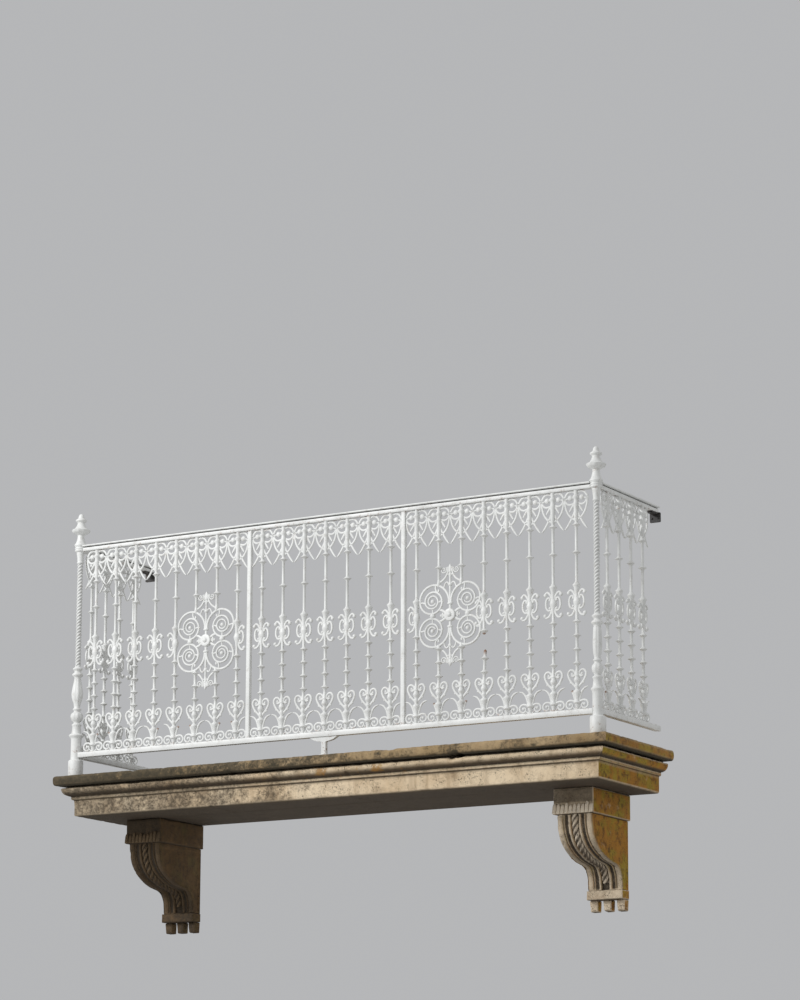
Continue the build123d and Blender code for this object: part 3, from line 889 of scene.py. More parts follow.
def row_recipe() -> Recipe:
    """Castings set on points, each turned a little, as no two stand quite alike.

    Returns:
        The recipe.
    """
    recipe = Recipe("Casting row", {"Castings": "Collection", "Facing": 0.0, "Turn": 0.02, "Seed": 3})
    wires, given = recipe.wires, recipe.given
    castings = wires.add(
        "GeometryNodeCollectionInfo",
        {"Collection": given["Castings"], "Separate Children": True, "Reset Children": True},
    )
    form, place = (
        wires.add("GeometryNodeInputNamedAttribute", {"Name": label}, data_type="INT").outputs[0]
        for label in ("form", "place")
    )
    turn = wires.add(
        "FunctionNodeRandomValue", {"Seed": given["Seed"], "ID": place, 2: -1.0, 3: 1.0}, data_type="FLOAT"
    )
    angle = wires.add(
        "ShaderNodeMath", {0: turn.outputs[1], 1: given["Turn"], 2: given["Facing"]}, operation="MULTIPLY_ADD"
    )
    rotation = wires.add("ShaderNodeCombineXYZ", {2: angle.outputs[0]})
    row = wires.add(
        "GeometryNodeInstanceOnPoints",
        {
            "Points": given["Geometry"],
            "Instance": castings.outputs[0],
            "Pick Instance": True,
            "Instance Index": form,
            "Rotation": rotation.outputs[0],
        },
    )
    recipe.close(row.outputs[0])
    return recipe


def twist_recipe() -> Recipe:
    """A bar of rounded strands twisted along a path.

    Returns:
        The recipe.
    """
    defaults = {"Radius": 0.0125, "Groove": 0.3, "Strands": 4, "Turns": 10.6, "Step": 0.004}
    recipe = Recipe("Twisted bar", {**defaults, "Sides": 24, "Groove shade": 0.0})
    wires, given = recipe.wires, recipe.given
    path = wires.add("GeometryNodeMeshToCurve", {0: given["Geometry"]}).outputs[0]
    fine = wires.add("GeometryNodeResampleCurve", {"Curve": path, "Length": given["Step"]}, mode="LENGTH")
    along = wires.add("GeometryNodeSplineParameter").outputs["Factor"]
    tilt = wires.times(along, wires.times(given["Turns"], 2 * pi))
    twisted = wires.add("GeometryNodeSetCurveTilt", {"Curve": fine.outputs[0], "Tilt": tilt})
    section = {"Resolution": given["Sides"], "Radius": given["Radius"]}
    circle = wires.add("GeometryNodeCurvePrimitiveCircle", section)
    wave = wires.math("SINE", wires.times(along, given["Strands"], pi))
    dip = wires.math("SUBTRACT", wires.math("ABSOLUTE", wave), 1.0)
    place = wires.add("GeometryNodeInputPosition").outputs[0]
    inward = wires.vector("SCALE", {0: place, "Scale": wires.times(dip, given["Groove"])})
    profile = wires.add("GeometryNodeSetPosition", {"Geometry": circle.outputs[0], "Offset": inward})
    # painted shade in the grooves between the strands, as deep as the Groove shade input asks
    grime = wires.times(wires.math("ABSOLUTE", dip), given["Groove shade"])
    profile_with_shade = wires.add(
        "GeometryNodeStoreNamedAttribute",
        {"Geometry": profile.outputs[0], "Name": "hollow", "Value": grime},
        data_type="FLOAT",
        domain="POINT",
    )
    bar = wires.add(
        "GeometryNodeCurveToMesh",
        {"Curve": twisted.outputs[0], "Profile Curve": profile_with_shade.outputs[0], "Fill Caps": True},
    )
    recipe.close(bar.outputs[0])
    return recipe


def tongue_recipe() -> Recipe:
    """Carved tongues in a row, each worn to a height of its own.

    Returns:
        The recipe.
    """
    recipe = Recipe("Tongue row", {"Tongue": "Object", "Least height": 0.8, "Seed": 5})
    wires, given = recipe.wires, recipe.given
    tongue = wires.add("GeometryNodeObjectInfo", {"Object": given["Tongue"], "As Instance": True})
    heights = {"Seed": given["Seed"], 2: given["Least height"], 3: 1.0}
    tall = wires.add("FunctionNodeRandomValue", heights, data_type="FLOAT")
    scale = wires.add("ShaderNodeCombineXYZ", {0: 1.0, 1: 1.0, 2: tall.outputs[1]})
    row = wires.add(
        "GeometryNodeInstanceOnPoints",
        {"Points": given["Geometry"], "Instance": tongue.outputs["Geometry"], "Scale": scale.outputs[0]},
    )
    recipe.close(row.outputs[0])
    return recipe


def carrier(
    name: str, places: Sequence[Vector], joined: bool = False, **marks: Sequence[int]
) -> bpy.types.Mesh:
    """Mesh of bare points, or of a path where they are joined, with whole-number marks.

    Args:
        name: Name of the mesh.
        places: Its points.
        joined: Whether edges join them.
        marks: Attributes with a value for each point.

    Returns:
        The mesh.
    """
    mesh = bpy.data.meshes.new(name)
    edges = [(i, i + 1) for i in range(len(places) - 1)] if joined else []
    mesh.from_pydata([p * MM for p in places], edges, [])
    for label, values in marks.items():
        mesh.attributes.new(label, "INT", "POINT").data.foreach_set("value", list(values))
    return mesh


# Finished pieces


@dataclass
class Workshop:
    """Puts finished meshes in the scene as pieces of the balcony."""

    finishes: dict[str, bpy.types.Material]

    def deliver(self, name: str, mesh: bpy.types.Mesh, finish: str, node: str) -> None:
        """Adds a piece in the row frame and hides the node that it stands for.

        Args:
            name: name of the piece.
            mesh: its mesh, with its place in it.
            finish: name of its finish.
            node: CAD node that it replaces.
        """
        piece = bpy.data.objects.new(name, mesh)
        bpy.context.scene.collection.objects.link(piece)
        mesh.materials.clear()
        mesh.materials.append(self.finishes[finish])
        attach(piece, "root")
        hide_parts(node)
        LOG.info("%s: %d points, %d faces", name, len(mesh.vertices), len(mesh.polygons))


# Balusters


class Form(Enum):
    """Castings that the rows are made of, in the order of their names."""

    WHOLE = 0
    CUT_RIGHT = 1
    CUT_LEFT = 2
    PARTED = 3
    BROKEN = 4
    LONG_LEAF_LEFT = 5
    LONG_LEAF_RIGHT = 6
    SHORT_LEAF_LEFT = 7
    SHORT_LEAF_RIGHT = 8


@dataclass
class BalusterCasting:
    """One cast baluster with its scrolls, drawn round its own upright axis."""

    site: Site
    shaft: float = 6.0
    ring: float = 16.4
    ring_half: float = 10.0
    fullness: float = 1.36
    lower_rings: tuple[float, ...] = (284.0, 339.3, 394.6, 450.0)
    upper_rings: tuple[float, ...] = (725.0, 836.0)
    scroll: float = 530.0
    part_half: float = 130.0
    foot_level: float = 98.0
    head_level: float = 978.0
    break_low: float = 372.0
    break_high: float = 440.0
    break_lean: float = 0.05
    lean_from: float = 270.0

    def stem(self) -> list[Station]:
        """Profile of the turned stem from the bottom bar to the top bar."""
        low, high = self.site.bottom_top, self.site.top_low
        foot = [(9.5, low - 4), (8.5, low + 3), (7.4, low + 10), (9.4, low + 17), (10.4, low + 20)]
        foot += [(9, low + 22)]
        cup = [(13.5, 126.5), (15.4, 129.5), (14.6, 133), (10.5, 137), (9.8, 143), (11, 152), (13.4, 162)]
        neck = [(15.6, 168), (16.2, 171), (15.6, 174.5), (11, 178.5), (7.6, 182), (7.6, 188), (9.8, 193)]
        neck += [(9.8, 197), (8, 203)]
        heart = [(9, 208), (12.4, 213), (13.6, 218.5), (12.4, 224), (9.6, 229), (9.2, 234), (10.6, 237)]
        heart += [(9.2, 240), (8.8, 250), (6.8, 258), (self.shaft, 264)]
        bell = [(self.shaft, 488), (7.5, 497), (8, 553), (8.6, 568), (10.5, 580), (13.6, 590), (16.2, 595)]
        bell += [(15.4, 598), (9.4, 603), (self.shaft, 611)]
        top = [(self.shaft, 848), (8.5, 853), (9.8, 862), (10, 885), (10.2, 905), (11.5, 916), (12.4, 920)]
        top += [(11.4, 925), (9.6, 932), (10, 940), (12.6, 945), (13.6, 949), (12.6, 953), (8.6, 957)]
        top += [(9, 966), (10.5, high + 3)]
        lower, upper = (
            [station for height in rings for station in self.bead(height)]
            for rings in (self.lower_rings, self.upper_rings)
        )
        return foot + cup + neck + heart + lower + bell + upper + top

    def bead(self, height: float) -> list[Station]:
        """Stations of one pointed ring."""
        reach = ((self.shaft, -1.0), (9.2, -0.62), (13.2, -0.26), (self.ring, -0.07))
        reach += tuple((radius, -share) for radius, share in reach[::-1])
        return [(radius, height + share * self.ring_half) for radius, share in reach]

    @staticmethod
    def between(profile: Sequence[Station], low: float, high: float) -> list[Station]:
        """The part of a profile between two heights, closed by small ends."""
        kept = [station for station in profile if low <= station[1] <= high]
        start, stop = min(kept[0][0], 6.4), min(kept[-1][0], 6.4)
        return [(start * 0.5, low - 1.2), (start, low), *kept, (stop, high), (stop * 0.5, high + 1.2)]

    def base_scroll(self, shell: Shell, side: Side) -> None:
        """Curl that stands on the bottom bar, with its eye."""
        curl = [(8.5, 131.5, 5.4), (15.5, 136.6, 5.8), (24, 139, 5.9), (32, 139.2, 5.9), (41, 135.8, 5.9)]
        curl += [(47, 126, 5.9), (45, 114.5, 5.8), (35, 107.8, 5.6), (25, 109.4, 5.4), (20, 116.5, 5.0)]
        curl += [(21.2, 124, 4.8), (27, 127, 4.6)]
        shell.strap(mirrored(flowing(curl, 5.0), side), 7.0)
        shell.ball(side * 31.0, 123.3, 6.4, 0.7, 10)
        shell.strap(mirrored([(7.5, 103.0, 5.0), (12.5, 107.5, 4.5), (17.0, 112.0, 4.0)], side), 6.0)

    def leaf(self, shell: Shell, side: Side, whole: bool) -> None:
        """Leaf that springs from the cup, whole or broken off short."""
        line = [(9.5, 134, 5.6), (11, 146, 6.6), (14, 158, 6.6), (19, 170, 6.2), (27, 181.5, 5.8)]
        line += [(36.5, 188, 5.2), (49.5, 191.5, 2.8)]
        if whole:
            shell.strap(mirrored(flowing(line, 4.5), side), 7.5)
        else:
            short = [*line[:4], (23.0, 177.5, 5.6)]
            shell.strap(mirrored(flowing(short, 4.5), side), 7.5, ends=(0.0, 0.75), rough=1.6)

    def heart(self, shell: Shell, side: Side) -> None:
        """One lobe of the heart, curled in to its eye."""
        line = [(4, 188, 6.2), (12, 198, 6.6), (23, 209, 6.6), (32.5, 223, 6.6), (38.4, 238, 6.4)]
        line += [(37.8, 249, 6.4), (31, 257.5, 6.4), (22, 259, 6.2), (13, 254, 6.0), (9, 245, 5.6)]
        line += [(12, 236.5, 5.2), (19, 233.5, 5), (25.5, 238, 4.6)]
        shell.strap(mirrored(flowing(line, 4.4), side), 7.5)
        shell.strap(mirrored([(5.0, 239.0, 4.6), (22.0, 239.0, 4.6)], side), 6.5)
        shell.ball(side * 21.0, 243.0, 5.8, 0.8, 10)
        shell.ball(side * 27.4, 208.5, 5.0, 0.8, 8)

    def middle_scroll(self, shell: Shell, side: Side) -> None:
        """Bow and two horns beside the boss of the middle."""
        bow = [(12, 546, 5.0), (16, 552.5, 6.2), (23, 553.5, 6.6), (29.5, 546, 6.8), (32, 532, 6.8)]
        bow += [(30.8, 517, 6.8), (25, 506.5, 6.6), (17, 502.5, 6.2), (11, 506, 5.6)]
        upper = [(6, 547, 7.5), (10, 560, 7.2), (17, 571, 6.8), (26.5, 576.5, 6.6), (34, 571, 6.0)]
        lower = [(5, 514, 7.5), (8, 500, 7.4), (12.5, 487.5, 7.0), (21, 477.5, 6.8), (31, 475, 6.4)]
        lower += [(36, 479.5, 5.8)]
        for line in (bow, upper, lower):
            shell.strap(mirrored(flowing(line, 4.5), side), 8.5)
        for x, height, radius in ((14.5, 512.5, 6.2), (34.6, 566, 8.0), (35.6, 483, 8.2), (14.5, 545.5, 6.2)):
            shell.ball(side * x, height, radius, 0.85)

    def boss(self, shell: Shell) -> None:
        """Lozenge boss between the bows."""
        profile = [(5, 499), (8.5, 508), (13, 519), (15.4, 528), (15.4, 531), (13, 540), (9.5, 549), (6, 556)]
        shell.turned(profile, flat=0.72, sides=12)

    def crown(self, shell: Shell, side: Side) -> None:
        """Half of the ornament under the top bar."""
        arch = [(2, 961, 5.6), (9, 967.5, 6), (20, 970.5, 6.4), (33, 968, 6.4), (43, 959, 6.4)]
        arch += [(48.6, 947, 6.2), (49.6, 938, 6.0)]
        bowl = [(49, 948, 5.6), (46.5, 934, 6), (38.5, 922, 6.4), (26, 917.5, 6.6), (13, 920.5, 6.4)]
        bowl += [(3, 926, 5.6)]
        strand = [(49.6, 940, 5.8), (47.5, 918, 6), (41, 894, 6.2), (29, 874, 6.2), (14, 861, 6)]
        strand += [(3, 855, 5.4)]
        droop = [(3, 925, 6), (12, 915, 6.6), (21, 902, 6.4), (29, 889, 4.4)]
        flare = [(3, 897, 6.4), (9, 883, 6.6), (18, 864, 6.2), (29, 845, 6), (40, 829, 5.4), (49, 819, 3)]
        for line in (arch, bowl, strand, droop, flare):
            shell.strap(mirrored(flowing(line, 5.5), side), 7.0)
        shell.strap(mirrored([(5.0, 947.0, 7.5), (16.0, 947.0, 7.5)], side), 6.0, 6)
        shell.ball(side * 25.5, 945.0, 11.4, 0.55, 14)
        shell.strap(mirrored([(34, 943.5, 4.8), (42, 941.0, 4.8), (48, 940, 4.4)], side), 6.0, 6)

    def crest(self, shell: Shell) -> None:
        """Small palmette on the axis under the top bar."""
        for lean in (-9.0, -4.5, 0.0, 4.5, 9.0):
            shell.strap([(lean * 0.3, 955, 3.4), (lean * 0.8, 964, 4.2), (lean * 1.2, 973, 3.0)], 6.0, 6)

    def casting(self, form: Form) -> Shell:
        """Builds one casting.

        Args:
            form: the casting wanted.

        Returns:
            Its surfaces round the axis at x = 0, y = 0.
        """
        shell = Shell(fullness=self.fullness)
        if form.value >= Form.LONG_LEAF_LEFT.value:
            side = -1 if form in (Form.LONG_LEAF_LEFT, Form.SHORT_LEAF_LEFT) else 1
            self.leaf(shell, side, form in (Form.LONG_LEAF_LEFT, Form.LONG_LEAF_RIGHT))
            return shell
        profile = self.stem()
        for side in (-1, 1):
            self.base_scroll(shell, side)
            self.heart(shell, side)
            self.crown(shell, side)
        self.crest(shell)
        shell.ball(self.site.pitch / 2, 941, 4.6, 0.8, 8)
        if form is Form.PARTED:
            shell.turned(self.between(profile, self.foot_level, self.scroll - self.part_half))
            shell.turned(self.between(profile, self.scroll + self.part_half, self.head_level))
            return shell
        if form is Form.BROKEN:
            self._broken_shaft(shell, profile)
        else:
            shell.turned(self.between(profile, self.foot_level, self.head_level))
        self.boss(shell)
        for side in (-1, 1):
            if (form, side) not in ((Form.CUT_RIGHT, 1), (Form.CUT_LEFT, -1)):
                self.middle_scroll(shell, side)
        return shell

    def _broken_shaft(self, shell: Shell, profile: Sequence[Station]) -> None:
        """Stub that still stands on the bar, and what hangs from the top bar."""
        low, high = self.break_low, self.break_high
        stub, hanging = Shell(), Shell()
        lower = [s for s in profile if s[1] <= low]
        stub.turned([(4.5, self.foot_level - 1.2), *lower, (6.2, low - 3), (4.4, low), (1.5, low + 3)])
        for point in stub.points:
            point.x += max(0.0, point.z - self.lean_from) * self.break_lean
        upper = [s for s in profile if s[1] >= high - 2]
        hanging.turned([(2, high - 4), (5.6, high - 2), *upper[1:], (4.5, self.head_level + 1.2)])
        for part in (stub, hanging):
            part.wear = [0.9 if low - 4 < p.z < high + 1 else 0.0 for p in part.points]
            shell.join(part)


@dataclass
class Railing:
    """All rows of balusters, each made from the castings by the row recipe."""

    site: Site
    shop: Workshop
    short_leaves: Mapping[str, Sequence[tuple[int, Side]]] = field(
        default_factory=lambda: {
            "left": ((1, 1), (2, -1), (4, 1), (5, 1), (6, -1), (7, 1), (8, -1)),
            "middle": (),
            "right": ((2, -1), (3, 1), (8, -1)),
            "left_return": ((2, 1), (3, -1)),
            "right_return": ((1, -1), (3, 1)),
        }
    )
    medallion_after: Mapping[str, int] = field(default_factory=lambda: {"left": 6, "right": 2})
    broken: tuple[str, int] = ("right", 4)

    def build(self) -> None:
        """Makes the castings, then each row."""
        castings = bpy.data.collections.new("Castings")
        maker = BalusterCasting(self.site)
        for form in Form:
            mesh = maker.casting(form).mesh(f"casting_{form.value}")
            castings.objects.link(bpy.data.objects.new(f"casting_{form.value}", mesh))
        recipe = row_recipe()
        for bay in ("left", "middle", "right"):
            places = [Vector((x, self.site.rail_y, self.site.deck)) for x in self.site.front_axes(bay)]
            self._row(recipe, castings, bay, places, 0.0, f"balusters_front_{bay}")
        for side, name in SIDES:
            places = [Vector((side * self.site.post_x, y, self.site.deck)) for y in self.site.return_axes()]
            self._row(recipe, castings, f"{name}_return", places, pi / 2, f"balusters_{name}_return")

    def form_of(self, row: str, number: int) -> Form:
        """Casting of one place in a row, counted from 1."""
        if (row, number) == self.broken:
            return Form.BROKEN
        after = self.medallion_after.get(row)
        if after is None:
            return Form.WHOLE
        near = {-1: Form.CUT_RIGHT, 0: Form.PARTED, 1: Form.PARTED, 2: Form.CUT_LEFT}
        return near.get(number - after, Form.WHOLE)

    def _row(
        self,
        recipe: Recipe,
        castings: bpy.types.Collection,
        row: str,
        places: Sequence[Vector],
        facing: float,
        node: str,
    ) -> None:
        """Makes one row of balusters with its leaves and delivers it."""
        leaves = (
            (-1, Form.SHORT_LEAF_LEFT, Form.LONG_LEAF_LEFT),
            (1, Form.SHORT_LEAF_RIGHT, Form.LONG_LEAF_RIGHT),
        )
        points, forms, marks = [], [], []
        for i, place in enumerate(places):
            cut = [(i + 1, side) in self.short_leaves[row] for side, _, _ in leaves]
            chosen = [self.form_of(row, i + 1)]
            chosen += [short if is_cut else whole for is_cut, (_, short, whole) in zip(cut, leaves)]
            points += [place] * len(chosen)
            forms += [form.value for form in chosen]
            marks += [i] * len(chosen)
        values = {"Castings": castings, "Facing": facing, "Turn": 0.015, "Seed": 3}
        mesh = recipe.bake(
            node,
            carrier(node + "_points", points, form=forms, place=marks),
            {**values, "Finish": self.shop.finishes["paint"]},
        )
        self.shop.deliver(f"row_{row}", mesh, "paint", node)


@dataclass
class Medallion:
    """Cast wheel of four spirals round a boss, leaded between two balusters."""

    site: Site
    shop: Workshop
    centre: float = 530.0
    volute: tuple[float, float] = (80.5, 60.0)
    volute_radius: float = 77.0
    volute_start: float = 188.0
    volute_turns: float = 2.95
    volute_widths: tuple[float, float] = (7.4, 5.6)
    volute_spans: int = 26
    decay: float = 0.55
    crest_tip: float = 209.0
    boss_radius: float = 26.0
    fullness: float = 1.36

    def _placed(self, line: Sequence[Station], side: Side, up: Side) -> list[Station]:
        """Stations drawn round the centre, put in one quarter of the wheel."""
        return [(side * s[0], self.centre + up * s[1], *s[2:]) for s in line]

    def quarter(self, shell: Shell, side: Side, up: Side) -> None:
        """One quarter, drawn as the upper left one and mirrored."""
        x, z = self.volute
        crest = spiral((-29.0, 184.0), 15.0, 0.75, 40.0, 1.2, (4.6, 3.4), 18)
        sweep = [(-12, 196, 4.6), (-9.5, 184, 5.6), (-13, 168, 6), (-24, 151, 6.2), (-38, 140, 6.2)]
        sweep += [(-52, 133, 6)]
        small = [(-28, 112, 4.6), (-25.5, 121, 5), (-21, 130, 5), (-14, 134, 4.8), (-9, 130.5, 4.2)]
        spur = [(-66, 124, 5.4), (-67, 113, 5.6), (-64, 102, 5.4), (-57, 96.5, 5), (-51, 101, 4.6)]
        spur += [(-53, 107, 4)]
        cusp_out = [(-x - 58, z - 5, 6), (-x - 48, z - 1, 5), (-x - 36, z - 5, 6)]
        cusp_in = [(-x + 28, z - 5, 6), (-x + 38, z - 1, 5), (-x + 49, z - 5, 6)]
        petal = [(-18, 9, 6.5), (-28, 15.5, 7.5), (-38, 21.5, 7), (-47, 22, 5)]
        lines = (
            (self._volute_line(), 10.0),
            (crest, 8.0),
            (flowing(sweep, 5.0), 8.0),
            (flowing(small, 4.0), 7.0),
            (flowing(spur, 4.0), 7.5),
            (flowing(cusp_out, 5.0), 7.0),
            (flowing(cusp_in, 5.0), 7.0),
            (flowing(petal, 5.0), 8.0),
            ([(-18, 2, 5), (-30, 3, 5), (-39, 2, 4)], 7.0),
        )
        for line, depth in lines:
            shell.strap(self._placed(line, side, up), depth)
        knobs = [(-x, z, 9.0), (-28, 183, 4.2), (-9.5, 130, 4.4), (-54, 104, 4.6), (-34, 7.5, 4.6)]
        knobs += [(-42.5, 1, 4.6)]
        for ball_x, ball_z, radius in self._placed(knobs, side, up):
            shell.ball(ball_x, ball_z, radius, 0.75, 12)

    def _volute_line(self) -> list[Station]:
        """The great spiral, from the stem up and round to its eye."""
        shape = (self.volute_radius, self.decay, self.volute_start, self.volute_turns)
        return mirrored(spiral(self.volute, *shape, self.volute_widths, self.volute_spans), -1)

    def stem(self, shell: Shell) -> None:
        """Upright stem with its collars, tips and the boss."""
        line = [(0, 15, 8), (0, 60, 7.5), (0, 110, 6.5), (0, 152, 6)]
        tip = [(0, 148, 4), (0, 158, 7.5), (0, 172, 9), (0, 186, 12.5), (0, 197, 10.5)]
        tip += [(0, self.crest_tip - 2, 3)]
        collar = [(11.0, 43.0), (13.0, 45.0), (13.0, 49.0), (11.0, 51.0)]
        for up in (-1, 1):
            shell.strap(self._placed(line, 1, up), 9.0)
            shell.strap(self._placed(flowing(tip, 4.0), 1, up), 9.0)
            shell.turned(self._placed(collar[::up], 1, up), flat=0.65, sides=14)
            shell.ball(0, self.centre + up * 176, 7.4, 0.8, 12)
            shell.ball(0, self.centre + up * 124, 9.2, 0.8, 12)
            shell.strap(self._placed([(-11, 165, 4.2), (11, 165, 4.2)], 1, up), 7.0, 6)
            for side in (-1, 1):
                shell.ball(side * 11, self.centre + up * 166, 4.4, 0.8, 8)
        bead = [(3.4, -31), (3.4, -14), (5, -11), (10, -7), (12.4, -1), (12.4, 1), (10, 7), (5, 11)]
        bead += [(3.4, 14), (3.4, 31)]
        for side in (-1, 1):
            shell.turned(self._placed(bead, 1, 1), (side * self.volute[0], 0.0), 14, 0.75)
        r = self.boss_radius
        rim = [(3, -16), (7, -15), (9.5, -12), (11, -10), (r - 6, -10.5), (r - 2, -9.5), (r, -6), (r, 6)]
        rim += [(r - 2, 9.5), (r - 6, 10.5), (11, 10), (9.5, 12), (7, 15), (3, 16)]
        shell.disc(0, self.centre, rim, 32)

    def sockets(self, shell: Shell) -> None:
        """Ends of the parted shafts, where they meet the wheel."""
        profile = [(5, 118), (7.5, 124), (8.4, 131), (7, 138), (6, 146)]
        for side, up in product((-1, 1), (-1, 1)):
            shell.turned(self._placed(profile[::up], 1, up), (side * self.site.pitch / 2, 0.0), 12)

    def build(self, name: str, middle: float) -> None:
        """Makes one medallion at its place and delivers it."""
        shell = Shell(self.site.deck, self.fullness)
        for side, up in product((-1, 1), (-1, 1)):
            self.quarter(shell, side, up)
        self.stem(shell)
        self.sockets(shell)
        for point in shell.points:
            point += Vector((middle, self.site.rail_y, 0.0))
        self.shop.deliver(f"wheel_{name}", shell.mesh(f"wheel_{name}"), "paint", f"medallion_{name}")


# Posts, rails and small ironwork


@dataclass(frozen=True)
class Swells:
    """Radii of the swellings of a post, which differ between the two castings."""

    cylinder: float
    collar: float
    waist: float
    ball: float
    vase_ends: float
    vase: float


@dataclass
class CornerPost:
    """Cast corner post with a twisted shaft, and its finial."""

    site: Site
    shop: Workshop
    left: Swells = Swells(cylinder=22.3, collar=31.5, waist=17.5, ball=27.3, vase_ends=15.0, vase=25.0)
    right: Swells = Swells(cylinder=21.0, collar=27.0, waist=16.5, ball=24.0, vase_ends=16.6, vase=19.0)
    twist_low: float = 472.0
    twist_high: float = 925.0
    twist_pitch: float = 42.4
    twist_radius: float = 12.6
    sides: int = 40

    def lower(self, swells: Swells) -> list[Station]:
        """Profile from the deck to the twisted shaft."""
        body, collar, waist, ball = swells.cylinder, swells.collar, swells.waist, swells.ball
        drum = [(30, -1), (31.6, 1.5), (31.9, 5), (31.9, 64), (31, 67.5), (27, 70.5), (body + 0.5, 72)]
        drum += [(body, 75)]
        barrel = [(body, 86), (body, 158), (body + 1.5, 165), (collar - 2.5, 170.5), (collar, 174.5)]
        barrel += [(collar, 177.5), (collar - 3, 181), (waist + 4.5, 183.5)]
        cone = [(waist + 3, 189), (waist, 213), (19.4, 217.5), (20.6, 220), (20.3, 223.5), (16, 227)]
        cone += [(12.8, 229.5)]
        globe = [(13.5, 234), (ball * 0.78, 240, 0.05), (ball * 0.93, 248, 0.1), (ball, 257.5, 0.12)]
        globe += [(ball * 0.93, 267, 0.1), (ball * 0.74, 273.5, 0.05), (13.6, 277.5)]
        neck = [(13, 281), (15, 284.5), (18.4, 287), (18.4, 290), (15, 293), (12.8, 297), (13.6, 303)]
        rise = [(0.0, 314), (0.55, 328), (0.88, 340), (1.0, 352), (0.92, 365), (0.62, 383), (0.28, 401)]
        rise += [(0.0, 416)]
        ends = swells.vase_ends
        vase = [(ends + (swells.vase - ends) * share, height, 0.1) for share, height in rise]
        rings = [(14, 424), (16, 429), (22, 433.5), (23.8, 437), (23.6, 439.5), (20.6, 443.5), (14.6, 448)]
        rings += [(13.8, 452), (16, 456.5), (20.6, 460.5), (21.5, 463.5), (19.4, 467.5), (13.6, 471)]
        rings += [(12.3, 474), (8, 475)]
        return drum + barrel + cone + globe + neck + vase + rings

    def upper(self) -> list[Station]:
        """Profile of the cup and the block that the rails run into."""
        low, high = self.site.top_low, self.site.handrail
        cup = [(8, 921), (12.4, 922), (14.9, 925), (14.9, 928), (12.9, 930.5), (13, 934), (13.8, 946)]
        cup += [(15.6, 960), (17, 966.5), (17.2, 969), (17, 971)]
        foot = [(22.6, 0), (24.6, 2), (24.8, 5.5), (22.8, 8), (22.8, 9.5), (24.8, 11.5), (24.8, 15)]
        foot += [(22.6, 17.5)]
        head = [(22.6, -6), (24.6, -4), (24.8, 0), (23, 1)]
        return cup + [(r, low + h) for r, h in foot] + [(r, high + h) for r, h in head]

    def finial(self) -> list[Station]:
        """Profile of the finial over the handrail."""
        bell = [(24, -1), (27, 0.5), (27.6, 3.5), (26, 7), (22, 12), (18.2, 22), (15.8, 33), (14.6, 42)]
        bell += [(14.8, 47), (18, 50)]
        disc = [(24, 53), (33, 57.5, 0.05), (38, 62, 0.07), (39.6, 66, 0.07), (39.6, 69), (37.5, 71.5)]
        disc += [(31, 74), (27, 77), (24, 81)]
        neck = [(19.6, 88), (16.6, 96), (15.6, 101), (17, 104.5), (21, 107)]
        knob = [(24, 109.8), (24.6, 112), (24, 114.5), (20, 117.5), (14, 122)]
        tip = [(12.4, 128), (11, 134), (7.6, 139), (2.6, 141.6)]
        return [(s[0], self.site.handrail + s[1], *s[2:]) for s in bell + disc + neck + knob + tip]

    def build(self, recipe: Recipe) -> None:
        """Makes both posts and finials."""
        for (side, name), swells in zip(SIDES, (self.left, self.right)):
            place = (side * self.site.post_x, self.site.rail_y)
            shell = Shell(self.site.deck)
            shell.turned(self.lower(swells), place, self.sides, lobes=8)
            shell.turned(self.upper(), place, self.sides)
            body = shell.mesh(f"corner_post_{name}")
            ends = [Vector((*place, self.site.deck + h)) for h in (self.twist_low, self.twist_high)]
            turns = (self.twist_high - self.twist_low) / self.twist_pitch
            values = {"Radius": self.twist_radius * MM, "Groove": 0.3, "Strands": 3, "Turns": turns}
            # a little painted shade in the grooves of the twist
            values |= {"Step": 0.0027, "Sides": 32, "Groove shade": 0.2, "Finish": self.shop.finishes["paint"]}
            path = carrier(f"twist_path_{name}", ends, joined=True)
            twist = recipe.bake(f"twist_{name}", path, values)
            self.shop.deliver(f"corner_post_{name}", body, "paint", f"post_{name}")
            self.shop.deliver(f"corner_twist_{name}", twist, "paint", f"post_{name}")
            top = Shell(self.site.deck)
            top.turned(self.finial(), place, self.sides, lobes=10)
            mesh = top.mesh(f"finial_top_{name}")
            self.shop.deliver(f"finial_top_{name}", mesh, "paint", f"finial_{name}")


